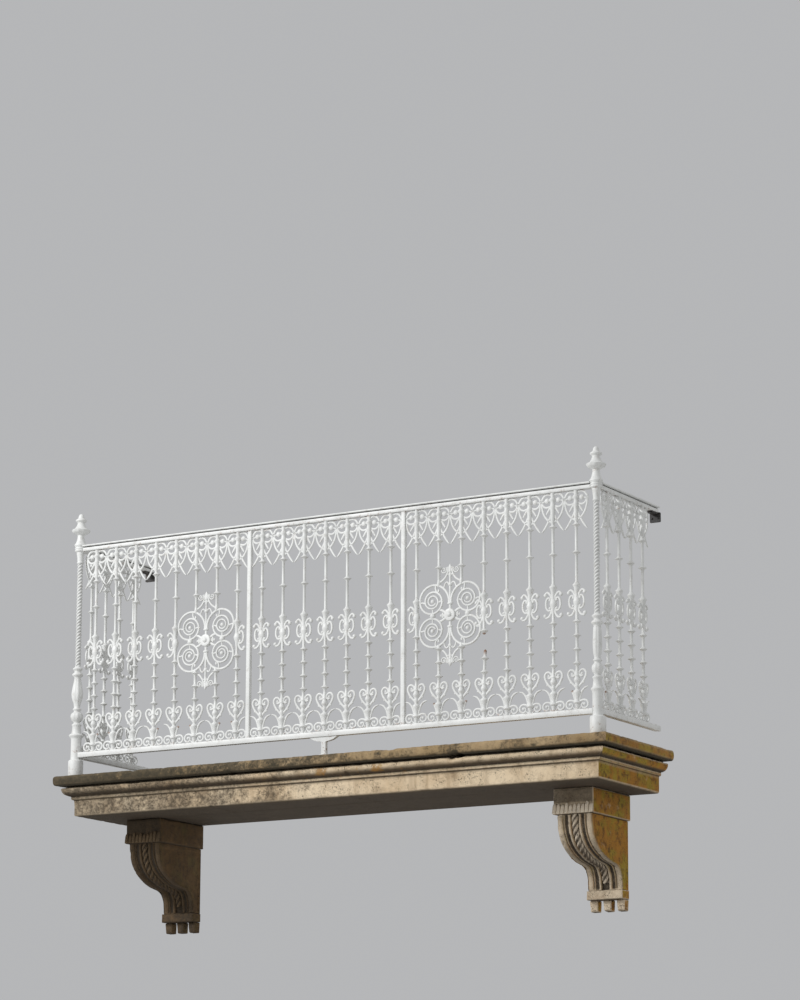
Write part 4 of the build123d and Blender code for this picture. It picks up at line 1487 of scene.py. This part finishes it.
@dataclass
class Rails:
    """Bottom bar, top bar and capping strip on three sides, with the small ironwork."""

    site: Site
    shop: Workshop
    bar_width: float = 26.0
    cap_width: float = 40.0
    cap_seat_width: float = 15.0
    cap_gap: float = 4.5
    span: float = 60.0
    standard_width: float = 18.0

    def build(self) -> None:
        """Makes every rail, then the standards, the foot and the wall brackets."""
        s = self.site
        seat = s.top_high - self.cap_gap
        bottom = ((s.bottom_low, s.bottom_top, self.bar_width, 0.0),)
        # the seat under the capping strip is painted near black: painted shade in the gap under the cap
        top = ((s.top_low, seat, self.bar_width, 0.0), (seat - 1.0, s.top_high, self.cap_seat_width, 1.0))
        cap = ((s.top_high, s.handrail, self.cap_width, 0.0),)
        rails = (("bottom_bar", 18.0, bottom), ("top_bar", 22.0, top), ("handrail_cap", 22.0, cap))
        for rail, post_radius, layers in rails:
            reach = s.post_x - post_radius
            ends = (Vector((-reach, s.rail_y, 0.0)), Vector((reach, s.rail_y, 0.0)))
            self._rail(f"{rail}_front", *ends, layers)
            for side, name in SIDES:
                start = Vector((side * s.post_x, s.rail_y + post_radius, 0.0))
                self._rail(f"{rail}_{name}_return", start, Vector((side * s.post_x, 0.0, 0.0)), layers)
        self.standards()
        self.foot()
        self.brackets()

    def _rail(self, node: str, start: Vector, stop: Vector, layers: Sequence[Station]) -> None:
        """Makes one rail and delivers it.

        Args:
            node: name of its CAD node.
            start: one end, on the rail's axis at the deck.
            stop: the other end.
            layers: low and high side, width and painted shade of each bar that lies on the one below.
        """
        shell = Shell(self.site.deck)
        spans = max(10, round((stop - start).length / self.span))
        for low, high, width, dirt_and_shade in layers:
            lift = Vector((0.0, 0.0, (low + high) / 2))
            shell.bar((start + lift, stop + lift), width, high - low, min(2.0, (high - low) * 0.3), spans)
            # marks the painted shade of this bar
            shell.hollow += [dirt_and_shade] * (len(shell.points) - len(shell.hollow))
        self.shop.deliver(f"iron_{node}", shell.mesh(f"iron_{node}"), "paint", node)

    def standards(self) -> None:
        """Square bars between the bays."""
        s = self.site
        for side, name in SIDES:
            shell = Shell(s.deck)
            x = side * s.standard_x
            ends = (Vector((x, s.rail_y, s.bottom_top - 4)), Vector((x, s.rail_y, s.top_low + 4)))
            shell.bar(ends, self.standard_width, self.standard_width, 1.6, 24)
            mesh = shell.mesh(f"square_bar_{name}")
            self.shop.deliver(f"square_bar_{name}", mesh, "paint", f"standard_{name}")

    def foot(self) -> None:
        """Curved foot under the middle of the bottom bar."""
        s = self.site
        top = s.bottom_low
        half = [(11, 0.5), (11, top - 21), (14, top - 19.5), (30, top - 17), (47, top - 12), (58, top - 6)]
        half += [(64, top - 2), (65, top)]
        outline = half + [(-x, h) for x, h in half[::-1]]
        shell = Shell(s.deck)
        shell.slab(outline, s.rail_y - 8, s.rail_y + 8, 1.2)
        shell.bar((Vector((0, s.rail_y, 0.4)), Vector((0, s.rail_y, 9))), 34, 22, 2.0, 2)
        self.shop.deliver("foot_plate", shell.mesh("foot_plate"), "flaking", "centre_foot")

    def brackets(self) -> None:
        """Dark iron brackets that hold the handrail's ends on the wall."""
        s = self.site
        for side, name in SIDES:
            x = side * s.post_x
            shell = Shell(s.deck)
            shell.bar((Vector((x, -8.0, s.top_low - 20)), Vector((x, 0.0, s.top_low - 20))), 46, 40, 3.0, 2)
            shell.bar((Vector((x, -55.0, s.top_low - 5)), Vector((x, -4.0, s.top_low - 5))), 26, 10, 4.2, 6)
            for bolt in (-14, 14):
                shell.disc(x + bolt, s.top_low - 24, [(1.5, -11.5), (4, -11), (5, -9), (5, -6)], 12)
            mesh = shell.mesh(f"wall_lug_{name}")
            self.shop.deliver(f"wall_lug_{name}", mesh, "bare", f"wall_bracket_{name}")


# Stonework


@dataclass
class Platform:
    """Stone slab with a rounded nose over a moulded course, returned at both ends."""

    site: Site
    shop: Workshop
    step: float = 7.0
    section_step: float = 6.5
    longest_run: float = 40.0
    top_inset: float = 90.0
    chip_places: tuple[tuple[float, float, float, float], ...] = (
        (650.0, -22.0, 22.0, 6.0),
        (618.0, -30.0, 16.0, 7.0),
        (125.0, -60.0, 10.0, 5.0),
        (-420.0, -24.0, 14.0, 3.0),
        (-905.0, 20.0, 24.0, 5.0),
        (340.0, 22.0, 30.0, 5.0),
    )
    joint_x: tuple[float, ...] = (125.0, -560.0, 905.0)
    joint_half: float = 5.0
    joint_depth: float = 2.6
    joint_wander: float = 3.0
    front_y: float = -0.5
    corner_share: float = 0.004
    corner_wear: float = 0.7
    slab_out: float = 62.0
    course_out: float = 2.0

    def slab_profile(self) -> list[Station]:
        """Stations of out, height, edge weight and painted shade, from the top round to the underside."""
        line = [(-self.top_inset, 22, 0), (-60, 22, 0), (-32, 22, 0.1), (-14, 22, 0.4), (-5, 21.6, 0.8)]
        line += [(0, 20.4, 1), (3.2, 17.5, 1), (5.2, 13, 0.8), (6.6, 7, 0.5), (7, 0, 0.3), (6.6, -7, 0.4)]
        # painted shade and crust under the nose
        line += [(5.2, -13, 0.7), (3.2, -17.5, 1, 0.3), (-1, -20.6, 1, 0.8), (-7, -21.8, 0.8, 1)]
        line += [(-16, -22, 0.3, 1), (-self.top_inset, -22, 0, 1)]
        return line

    def course_profile(self, low: float) -> list[Station]:
        """Stations of out, height, edge weight and painted shade, from the groove down to the underside."""
        top = -22.0
        # painted shade and crust in the recess under the slab, under the roll and along the underside
        line = [(-60.0, top, 0, 1), (18, top, 0, 1), (19, top - 5, 0.2, 1), (30, top - 6.2, 0.5, 0.5)]
        line += [(38, top - 8, 1), (41, top - 12, 0.8)]
        for i in range(1, 7):
            turn = i / 6 * pi / 2
            line.append((10 + 31 * cos(turn), top - 12 - 30 * sin(turn), 0.25, max(0.0, (i - 3) / 3)))
        line += [(9.4, top - 44, 0.6, 1), (9.6, top - 46, 1, 0.3), (9.4, top - 52, 0.6)]
        line += [(7.5, top - 56.5, 0.9), (1.5, top - 57.5, 0.5, 0.8), (0.2, top - 60, 0.3, 0.6)]
        line += [(0, top - 70, 0.1)]
        line += [(0, top - 102, 0.15), (-0.4, low + 10, 0.4), (-1.5, low + 3, 1), (-5, low + 0.6, 1)]
        line += [(-14, low, 0.4, 0.4), (-60, low, 0, 0.7), (-200, low, 0, 0.7)]
        return line

    def wrapped(self, profile: Sequence[Station], half: float, depth: float) -> Shell:
        """Closed body with the profile round its three free sides.

        Args:
            profile: stations of out, height and edge weight, and of painted shade where there is some.
            half: half its length at out = 0.
            depth: its depth at out = 0.

        Returns:
            The shell, with the edge weights as its wear.
        """
        full = [(*station, 0.0)[:4] for station in profile]
        line: list[Station] = []
        for a, b in zip(full, full[1:]):
            run = hypot(b[0] - a[0], b[1] - a[1])
            spans = max(1, round(min(run, self.longest_run) / self.section_step))
            line.extend(tuple(p + (q - p) * i / spans for p, q in zip(a, b)) for i in range(spans))
        line.append(full[-1])
        sides = round(depth / self.step)
        front = round(2 * half / self.step)
        shell = Shell()
        stations = [(0, i / sides) for i in range(sides)] + [(1, i / front) for i in range(front)]
        stations += [(2, i / sides) for i in range(sides + 1)]
        for run, share in stations:
            for out, height, weight, grime in line:
                x, y = half + out, depth + out
                point = {
                    0: Vector((-x, -share * y, height)),
                    1: Vector((-x + 2 * share * x, -y, height)),
                    2: Vector((x, -(1 - share) * y, height)),
                }[run]
                shell.points.append(point)
                corner = run == 1 and min(share, 1 - share) < self.corner_share
                shell.wear.append(max(weight, self.corner_wear if corner and out > -20 else 0.0))
                shell.hollow.append(grime)
        rows, count = len(stations), len(line)
        for i in range(rows - 1):
            for j in range(count - 1):
                a = i * count + j
                shell.faces.append((a, a + 1, a + count + 1, a + count))
        shell.faces.append(tuple(i * count for i in range(rows)))
        shell.faces.append(tuple(i * count + count - 1 for i in range(rows))[::-1])
        last = (rows - 1) * count
        shell.faces.append(tuple(range(count))[::-1] + tuple(last + j for j in range(count)))
        return shell

    def damage(self, place: Vector) -> float:
        """Depth of chips and open joints at a place, in millimetres."""
        depth = 0.0
        for x, z, radius, deep in self.chip_places:
            off = Vector((place.x / MM - x, 0.0, (place.z / MM - z) * 1.3)).length
            ragged = radius * (1 + 0.5 * noise.noise(place * 60.0))
            if place.y < self.front_y and off < ragged:
                depth += deep * (1 - (off / ragged) ** 2)
        for x in self.joint_x:
            off = abs(place.x / MM - x - self.joint_wander * noise.noise(place * 18.0))
            if off < self.joint_half:
                depth += self.joint_depth * (1 - off / self.joint_half)
        return depth

    def build(self) -> None:
        """Makes the slab and the moulded course."""
        half, depth, sharp = self.site.post_x, -self.site.rail_y, 60.0
        out = self.slab_out
        slab = self.wrapped(self.slab_profile(), half + out, depth + out).mesh("slab", sharp)
        weathered(slab, 3.2, 11.0, self.damage)
        self.shop.deliver("stone_top_slab", slab, "stone_slab", "platform_top_slab")
        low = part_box("platform_moulded_course")[0].z / MM
        out = self.course_out
        course = self.wrapped(self.course_profile(low), half + out, depth + out).mesh("course", sharp)
        weathered(course, 3.0, 23.0, self.damage)
        self.shop.deliver("stone_course", course, "stone_course", "platform_moulded_course")


@dataclass
class Corbel:
    """Scrolled corbel: cap with a fringe of tongues, fluted body, and foot with drops."""

    site: Site
    shop: Workshop
    cap_width: float = 180.0
    body_width: float = 154.0
    tongues: int = 10
    tongue_height: float = 44.0
    drop_pitch: float = 60.0
    drop_width: float = 39.0
    drop_taper: float = 0.13
    lip_depth: float = 30.0
    lip_height: float = 7.0
    foot_height: float = 38.0
    panel_depth: float = 5.0
    cap_inset: float = 6.0
    rope_inset: float = 13.0
    edge_reach: float = 12.0
    curve: tuple[tuple[float, float], ...] = (
        (320.0, 0.0), (318.0, 30.8), (311.3, 60.8), (298.6, 88.9), (279.8, 113.3),
        (256.1, 133.0), (229.4, 148.4), (200.9, 160.2), (171.3, 168.8), (141.0, 174.6),
        (110.6, 179.5), (82.3, 191.4), (63.7, 215.5), (55.9, 245.2), (54.0, 276.0),
    )
    flutes: tuple[tuple[float, float, float, float], ...] = (
        (0.0, 16.0, 14.0, 14.0),
        (16.0, 30.0, 1.5, 7.0),
        (30.0, 43.0, 11.0, 8.0),
        (43.0, 48.0, 3.0, 6.0),
        (48.0, 52.0, 8.0, 8.0),
        (52.0, 77.1, 0.4, 6.5),
    )

    def front_relief(self, across: float) -> float:
        """Depth of the rolls and flutes of the body's front at a place across it, in millimetres."""
        off = abs(across)
        for low, high, middle_depth, edge_depth in self.flutes:
            if low <= off < high:
                share = (off - (low + high) / 2) / ((high - low) / 2)
                return middle_depth + (edge_depth - middle_depth) * share * share
        return 0.4

    def body(self, centre: float, top: float) -> Shell:
        """Body cut in level slices, with its flutes along the curve of the front."""
        line = flowing(self.curve, 5.0)
        front_cuts, side_cuts, flank_wear = 84, 16, 0.3
        steepest, least_depth = 2.4, 8.0
        half = self.body_width / 2
        shell = Shell()
        loops, worn = [], []
        last = len(line) - 1
        for i, (depth, drop) in enumerate(line):
            a, b = line[max(i - 1, 0)], line[min(i + 1, last)]
            slope = hypot(b[0] - a[0], b[1] - a[1]) / max(abs(b[1] - a[1]), 1e-6)
            insets = [self._panel(j / side_cuts * depth, depth, drop) for j in range(side_cuts)]
            flanks = [
                [
                    Vector((centre + side * (half - inset), -j / side_cuts * depth, top - drop))
                    for j, inset in enumerate(insets)
                ]
                for side in (-1, 1)
            ]
            front = []
            flute_shades, wear = [0.0] * side_cuts, [flank_wear] * side_cuts
            fade = max(0.0, min(1.0, (drop + 5) / 9.0, (self.curve[-1][1] - drop + 4) / 12.0))
            for j in range(front_cuts + 1):
                across = -half + 2 * half * j / front_cuts
                relief = self.front_relief(across) * fade
                face = max(depth - relief * min(slope, steepest), least_depth)
                front.append(Vector((centre + across, -face, top - drop)))
                # painted shade and crust deep in the flutes
                flute_shades.append(min(1.0, max(0.0, (relief - 4.0) / 5.0)))
                wear.append(1.0 - 0.35 * min(1.0, relief / 6.0))
            loops.append(flanks[0] + front + flanks[1][::-1])
            shell.hollow += flute_shades + [0.0] * side_cuts
            worn += wear + [flank_wear] * side_cuts
        shell.skin(loops)
        shell.wear = worn
        return shell

    def _panel(self, place: float, depth: float, drop: float) -> float:
        """How far a place of the side lies in, in its sunk panel behind the front roll."""
        gap = min(depth - place - 30.0, place - 6.0, drop - 14.0, self.curve[-1][1] - drop - 8.0)
        return self.panel_depth * min(1.0, max(0.0, gap / self.panel_depth))

    def block(self, low: Vector, high: Vector, step: float, round_off: float) -> Shell:
        """Block of a fine grid with eased edges, weighted for wear near its edges."""
        shell = Shell()
        touch, pull_share = 0.01, 0.4
        size = high - low
        counts = [max(2, round(size[k] / step)) for k in range(3)]
        index: dict[tuple[int, int, int], int] = {}

        def corner(key: tuple[int, int, int]) -> int:
            """Number of a grid point, added once."""
            if key not in index:
                point = Vector([low[k] + size[k] * key[k] / counts[k] for k in range(3)])
                gaps = sorted(min(point[k] - low[k], high[k] - point[k]) for k in range(3))
                near = max(0.0, 1 - gaps[1] / self.edge_reach)
                centre = (low + high) / 2
                for k in range(3):
                    gap = min(point[k] - low[k], high[k] - point[k])
                    if gap < touch and not (k == 1 and point.y > high.y - touch):
                        pull = max(0.0, 1 - gaps[1] / round_off)
                        inward = 1 if centre[k] > point[k] else -1
                        point[k] += pull * pull * round_off * pull_share * inward
                index[key] = len(shell.points)
                shell.points.append(point)
                shell.wear.append(near)
            return index[key]

        for k in range(3):
            u, v = (k + 1) % 3, (k + 2) % 3
            for level in (0, counts[k]):
                for i in range(counts[u]):
                    for j in range(counts[v]):
                        face = []
                        for du, dv in ((0, 0), (1, 0), (1, 1), (0, 1)):
                            key = [0, 0, 0]
                            key[k], key[u], key[v] = level, i + du, j + dv
                            face.append(corner((key[0], key[1], key[2])))
                        shell.faces.append(tuple(face))
        return shell

    def drop(self, x: float, top: float, low: float) -> Shell:
        """Peg under the foot, a little narrower at its tip."""
        half = self.drop_width / 2
        peg = self.block(Vector((x - half, -self.drop_width, low)), Vector((x + half, 0.0, top)), 5.0, 6.0)
        for point in peg.points:
            share = (top - point.z) / (top - low)
            kept = 1 - self.drop_taper * share
            point.x = x + (point.x - x) * kept
            point.y *= kept
        return peg

    def tongue(self) -> bpy.types.Object:
        """One carved tongue, leaning a little, rounded in front and split by a vein."""
        shell = Shell()
        width = self.cap_width / self.tongues - 1.6
        loops = []
        for share, swell in ((0.0, 0.9), (0.05, 1.0), (0.45, 1.0), (0.72, 0.96), (0.9, 0.75), (1.0, 0.4)):
            loop = []
            for j in range(12):
                angle = 2 * pi * j / 12
                lobe = 1 - 0.16 * max(0.0, 1 - abs(angle - 1.5 * pi) * 2.2)
                x = width / 2 * swell * cos(angle) + (share - 0.5) * 4.0
                loop.append(Vector((x, 6.5 * swell * lobe * sin(angle), share * self.tongue_height)))
            loops.append(loop)
        # full wear paints the tongues light: painted light on the lit carving
        shell.skin(loops, [1.0] * len(loops))
        return bpy.data.objects.new("tongue", shell.mesh("tongue"))

    def build(self, twist: Recipe) -> None:
        """Makes both corbels from the boxes of their nodes."""
        tongues = tongue_recipe()
        tongue = self.tongue()
        for side, name in SIDES:
            low, high = (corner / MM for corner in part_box(f"corbel_cap_{name}"))
            centre = (low.x + high.x) / 2
            face = low.y + self.cap_inset
            self._cap(name, Vector((low.x, face, low.z)), high, 31.0 + side)
            middle = Vector((centre, face + 1.0, low.z + 3.0))
            self._fringe(name, middle, tongues, {"Tongue": tongue, "Least height": 0.72, "Seed": 5 + side})
            self._scroll(name, centre, low.z, twist, 47.0 + side)
            self._foot(name, centre, 61.0 + side)

    def _cap(self, name: str, low: Vector, high: Vector, seed: float) -> None:
        """Makes a cap with its lip and delivers it."""
        cap = self.block(low + Vector((0.0, 5.0, 0.0)), Vector((high.x, 0.0, high.z)), 6.0, 5.0)
        shaded = low.z + self.tongue_height
        # painted shade and crust on the front above the tongues, under the platform's overhang
        cap.hollow = [0.7 if p.y < low.y + 6.0 and p.z > shaded else 0.0 for p in cap.points]
        lip_end = Vector((high.x, low.y + self.lip_depth, low.z + self.lip_height))
        cap.join(self.block(low, lip_end, 4.0, 3.0))
        mesh = cap.mesh(f"cap_{name}", 60.0)
        weathered(mesh, 3.6, seed)
        self.shop.deliver(f"cap_block_{name}", mesh, f"stone_corbel_{name}", f"corbel_cap_{name}")

    def _fringe(self, name: str, middle: Vector, tongues: Recipe, values: Mapping[str, object]) -> None:
        """Makes the row of tongues under a cap and delivers it."""
        pitch = self.cap_width / self.tongues
        offsets = [(i - (self.tongues - 1) / 2) * pitch for i in range(self.tongues)]
        places = [middle + Vector((offset, 0.0, 0.0)) for offset in offsets]
        finish = f"carving_{name}"
        values = {**values, "Finish": self.shop.finishes[finish]}
        fringe = tongues.bake(f"cap_fringe_{name}", carrier(f"fringe_points_{name}", places), values)
        self.shop.deliver(f"cap_fringe_{name}", fringe, finish, f"corbel_cap_{name}")

    def _scroll(self, name: str, centre: float, top: float, twist: Recipe, seed: float) -> None:
        """Makes a scrolled body and its rope and delivers both."""
        body = self.body(centre, top).mesh(f"body_{name}", 50.0)
        weathered(body, 4.0, seed)
        self.shop.deliver(f"scroll_body_{name}", body, f"stone_corbel_{name}", f"corbel_scroll_{name}")
        path = [Vector((centre, -(depth - self.rope_inset), top - drop)) for depth, drop in self.curve[:-1]]
        finish = f"carving_{name}"
        values = {"Radius": 0.0145, "Groove": 0.34, "Strands": 3, "Turns": 4.8, "Step": 0.005, "Sides": 24}
        # painted shade and crust in the grooves of the rope
        values |= {"Groove shade": 1.0, "Finish": self.shop.finishes[finish]}
        rope = twist.bake(f"scroll_rope_{name}", carrier(f"rope_path_{name}", path, joined=True), values)
        self.shop.deliver(f"scroll_rope_{name}", rope, finish, f"corbel_scroll_{name}")

    def _foot(self, name: str, centre: float, seed: float) -> None:
        """Makes a foot with its three drops and delivers it."""
        low, high = (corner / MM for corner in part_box(f"corbel_foot_{name}"))
        seat = high.z - self.foot_height
        foot = self.block(Vector((low.x, low.y, seat)), high, 5.0, 4.0)
        for i in (-1, 0, 1):
            foot.join(self.drop(centre + i * self.drop_pitch, seat + 1.0, low.z))
        mesh = foot.mesh(f"foot_{name}", 60.0)
        weathered(mesh, 3.2, seed)
        self.shop.deliver(f"foot_block_{name}", mesh, f"stone_corbel_{name}", f"corbel_foot_{name}")


# Studio


@dataclass
class Studio:
    """Camera, lights, background and floor."""

    camera_place: tuple[float, float, float] = (6.881, -11.511, -1.854)
    yaw: float = 0.5361
    pitch: float = 0.1923
    roll: float = 0.0045
    lens: float = 116.2
    sensor: float = 36.0
    rise: float = 0.1
    floor_level: float = -3.64
    floor_half: float = 30.0
    sun_way: tuple[float, float, float] = (-0.47, -0.75, 0.465)
    key_power: float = 388.0
    key_size: float = 2.4
    key_distance: float = 8.0
    key_target: tuple[float, float, float] = (0.0, -0.3, 0.3)
    fill: float = 0.56
    backdrop: float = 0.48
    fill_colour: Colour = (1.0, 1.0, 1.0, 1.0)
    backdrop_colour: Colour = (0.97, 0.98, 1.0, 1.0)
    floor_colour: Colour = (0.72, 0.72, 0.71, 1.0)

    def camera(self) -> None:
        """Sets the camera from the fit to the photograph."""
        ahead = Vector(
            (-sin(self.yaw) * cos(self.pitch), cos(self.yaw) * cos(self.pitch), sin(self.pitch))
        )
        right = Vector((cos(self.yaw), sin(self.yaw), 0.0))
        up = right.cross(ahead)
        across = right * cos(self.roll) + up * sin(self.roll)
        upward = up * cos(self.roll) - right * sin(self.roll)
        data = bpy.data.cameras.new("camera")
        data.lens = self.lens
        data.sensor_width = self.sensor
        data.shift_y = self.rise
        data.clip_end = 100.0
        camera = bpy.data.objects.new("camera", data)
        turn = Matrix((across, upward, -ahead)).transposed().to_4x4()
        camera.matrix_world = Matrix.Translation(self.camera_place) @ turn
        bpy.context.scene.collection.objects.link(camera)
        bpy.context.scene.camera = camera

    def lights(self) -> None:
        """One large soft key from the upper left front, over an even world."""
        data = bpy.data.lights.new("key", "AREA")
        data.shape = "DISK"
        data.size = self.key_size
        data.energy = self.key_power
        key = bpy.data.objects.new("key", data)
        way = Vector(self.sun_way).normalized()
        key.location = Vector(self.key_target) + way * self.key_distance
        key.rotation_euler = way.to_track_quat("Z", "Y").to_euler()
        bpy.context.scene.collection.objects.link(key)
        world = bpy.data.worlds.new("studio")
        bpy.context.scene.world = world
        world.use_nodes = True
        wires = Wiring(world.node_tree)
        nodes = world.node_tree.nodes
        nodes.clear()
        path = wires.add("ShaderNodeLightPath")
        seen = wires.math("MAXIMUM", path.outputs["Is Camera Ray"], path.outputs["Is Glossy Ray"])
        seen = wires.math("MAXIMUM", seen, path.outputs["Is Transmission Ray"])
        even = wires.add("ShaderNodeBackground", {"Color": self.fill_colour, "Strength": self.fill})
        behind = {"Color": self.backdrop_colour, "Strength": self.backdrop}
        pale = wires.add("ShaderNodeBackground", behind)
        both = wires.add("ShaderNodeMixShader", {0: seen, 1: even.outputs[0], 2: pale.outputs[0]})
        wires.add("ShaderNodeOutputWorld", {0: both.outputs[0]})

    def floor(self) -> None:
        """Plain pale floor, far below the balcony and under the camera's own level."""
        work = bmesh.new()
        bmesh.ops.create_grid(work, x_segments=1, y_segments=1, size=self.floor_half)
        bmesh.ops.translate(work, verts=work.verts, vec=(0.0, 0.0, self.floor_level))
        mesh = bpy.data.meshes.new("floor")
        work.to_mesh(mesh)
        work.free()
        floor = bpy.data.objects.new("floor", mesh)
        bpy.context.scene.collection.objects.link(floor)
        material = bpy.data.materials.new("floor")
        material.use_nodes = True
        Wiring(material.node_tree).feed(
            material.node_tree.nodes["Principled BSDF"],
            {"Base Color": self.floor_colour, "Roughness": 0.9},
        )
        mesh.materials.append(material)


def all_finishes(site: Site) -> dict[str, bpy.types.Material]:
    """Builds every finish of the iron and of the stone.

    Args:
        site: Sizes of the site.

    Returns:
        Materials by name.
    """
    irons = {
        "paint": IronFinish("old_white_paint"),
        "flaking": IronFinish("flaking_paint", rust_share=1.6),
        "bare": IronFinish(
            "bare_dark_iron", paint=(0.03, 0.028, 0.027, 1.0), shade=(0.055, 0.048, 0.042, 1.0), gloss=0.6
        ),
    }
    stones = {
        "stone_slab": StoneFinish(
            "slab_stone",
            light=(0.46, 0.34, 0.20, 1.0),
            tan=(0.34, 0.24, 0.12, 1.0),
            crust=(0.048, 0.044, 0.031, 1.0),
            film=0.97,
            film_gaps=0.9,
            rim=0.1,
            # darker towards the left: painted shade and crust
            crust_left=1.3,
            crust_right=0.3,
            lichen_end=0.85,
        ),
        "stone_course": StoneFinish(
            "course_stone",
            light=(0.84, 0.69, 0.49, 1.0),
            tan=(0.66, 0.50, 0.32, 1.0),
            # darker towards the left: painted shade and crust
            crust_left=1.15,
            crust_right=-0.2,
            lichen_end=1.0,
            rim=0.3,
            roll_moss=0.7,
        ),
        # the left corbel is darkened as a whole: painted shade and soot
        "stone_corbel_left": StoneFinish(
            "left_corbel_stone_in_painted_shade",
            light=(0.115, 0.08, 0.046, 1.0),
            tan=(0.075, 0.05, 0.028, 1.0),
            crust_left=0.6,
            crust_right=0.6,
            lichen_end=0.12,
        ),
        "stone_corbel_right": StoneFinish(
            "right_corbel_stone", light=(0.76, 0.64, 0.48, 1.0), tan=(0.58, 0.46, 0.32, 1.0), lichen_end=1.0
        ),
        # the left carving likewise: painted shade and crust
        "carving_left": StoneFinish(
            "left_carving_stone_in_painted_shade",
            light=(0.17, 0.12, 0.07, 1.0),
            tan=(0.11, 0.075, 0.04, 1.0),
            crust_left=0.4,
            crust_right=0.4,
        ),
        # lightened beyond the corbel's stone: painted light on the lit tongues and rope
        "carving_right": StoneFinish(
            "right_carving_stone_painted_light", light=(0.88, 0.77, 0.62, 1.0), tan=(0.72, 0.60, 0.45, 1.0), rim=0.9
        ),
    }
    effects = Effects()
    finishes = {key: iron.build(effects, site) for key, iron in irons.items()}
    return finishes | {key: stone.build(effects) for key, stone in stones.items()}


def main() -> None:
    """Builds the balcony piece by piece, then the studio."""
    logging.basicConfig(level=logging.INFO, format="%(name)s: %(message)s")
    bpy.context.scene.view_settings.view_transform = "Standard"
    site = Site.measured()
    shop = Workshop(all_finishes(site))
    twist = twist_recipe()
    railing = Railing(site, shop)
    railing.build()
    medallion = Medallion(site, shop)
    for name, after in railing.medallion_after.items():
        medallion.build(name, site.front_axes(name)[after - 1] + site.pitch / 2)
    CornerPost(site, shop).build(twist)
    Rails(site, shop).build()
    Platform(site, shop).build()
    Corbel(site, shop).build(twist)
    studio = Studio()
    studio.camera()
    studio.lights()
    studio.floor()


if __name__ == "__main__":
    main()
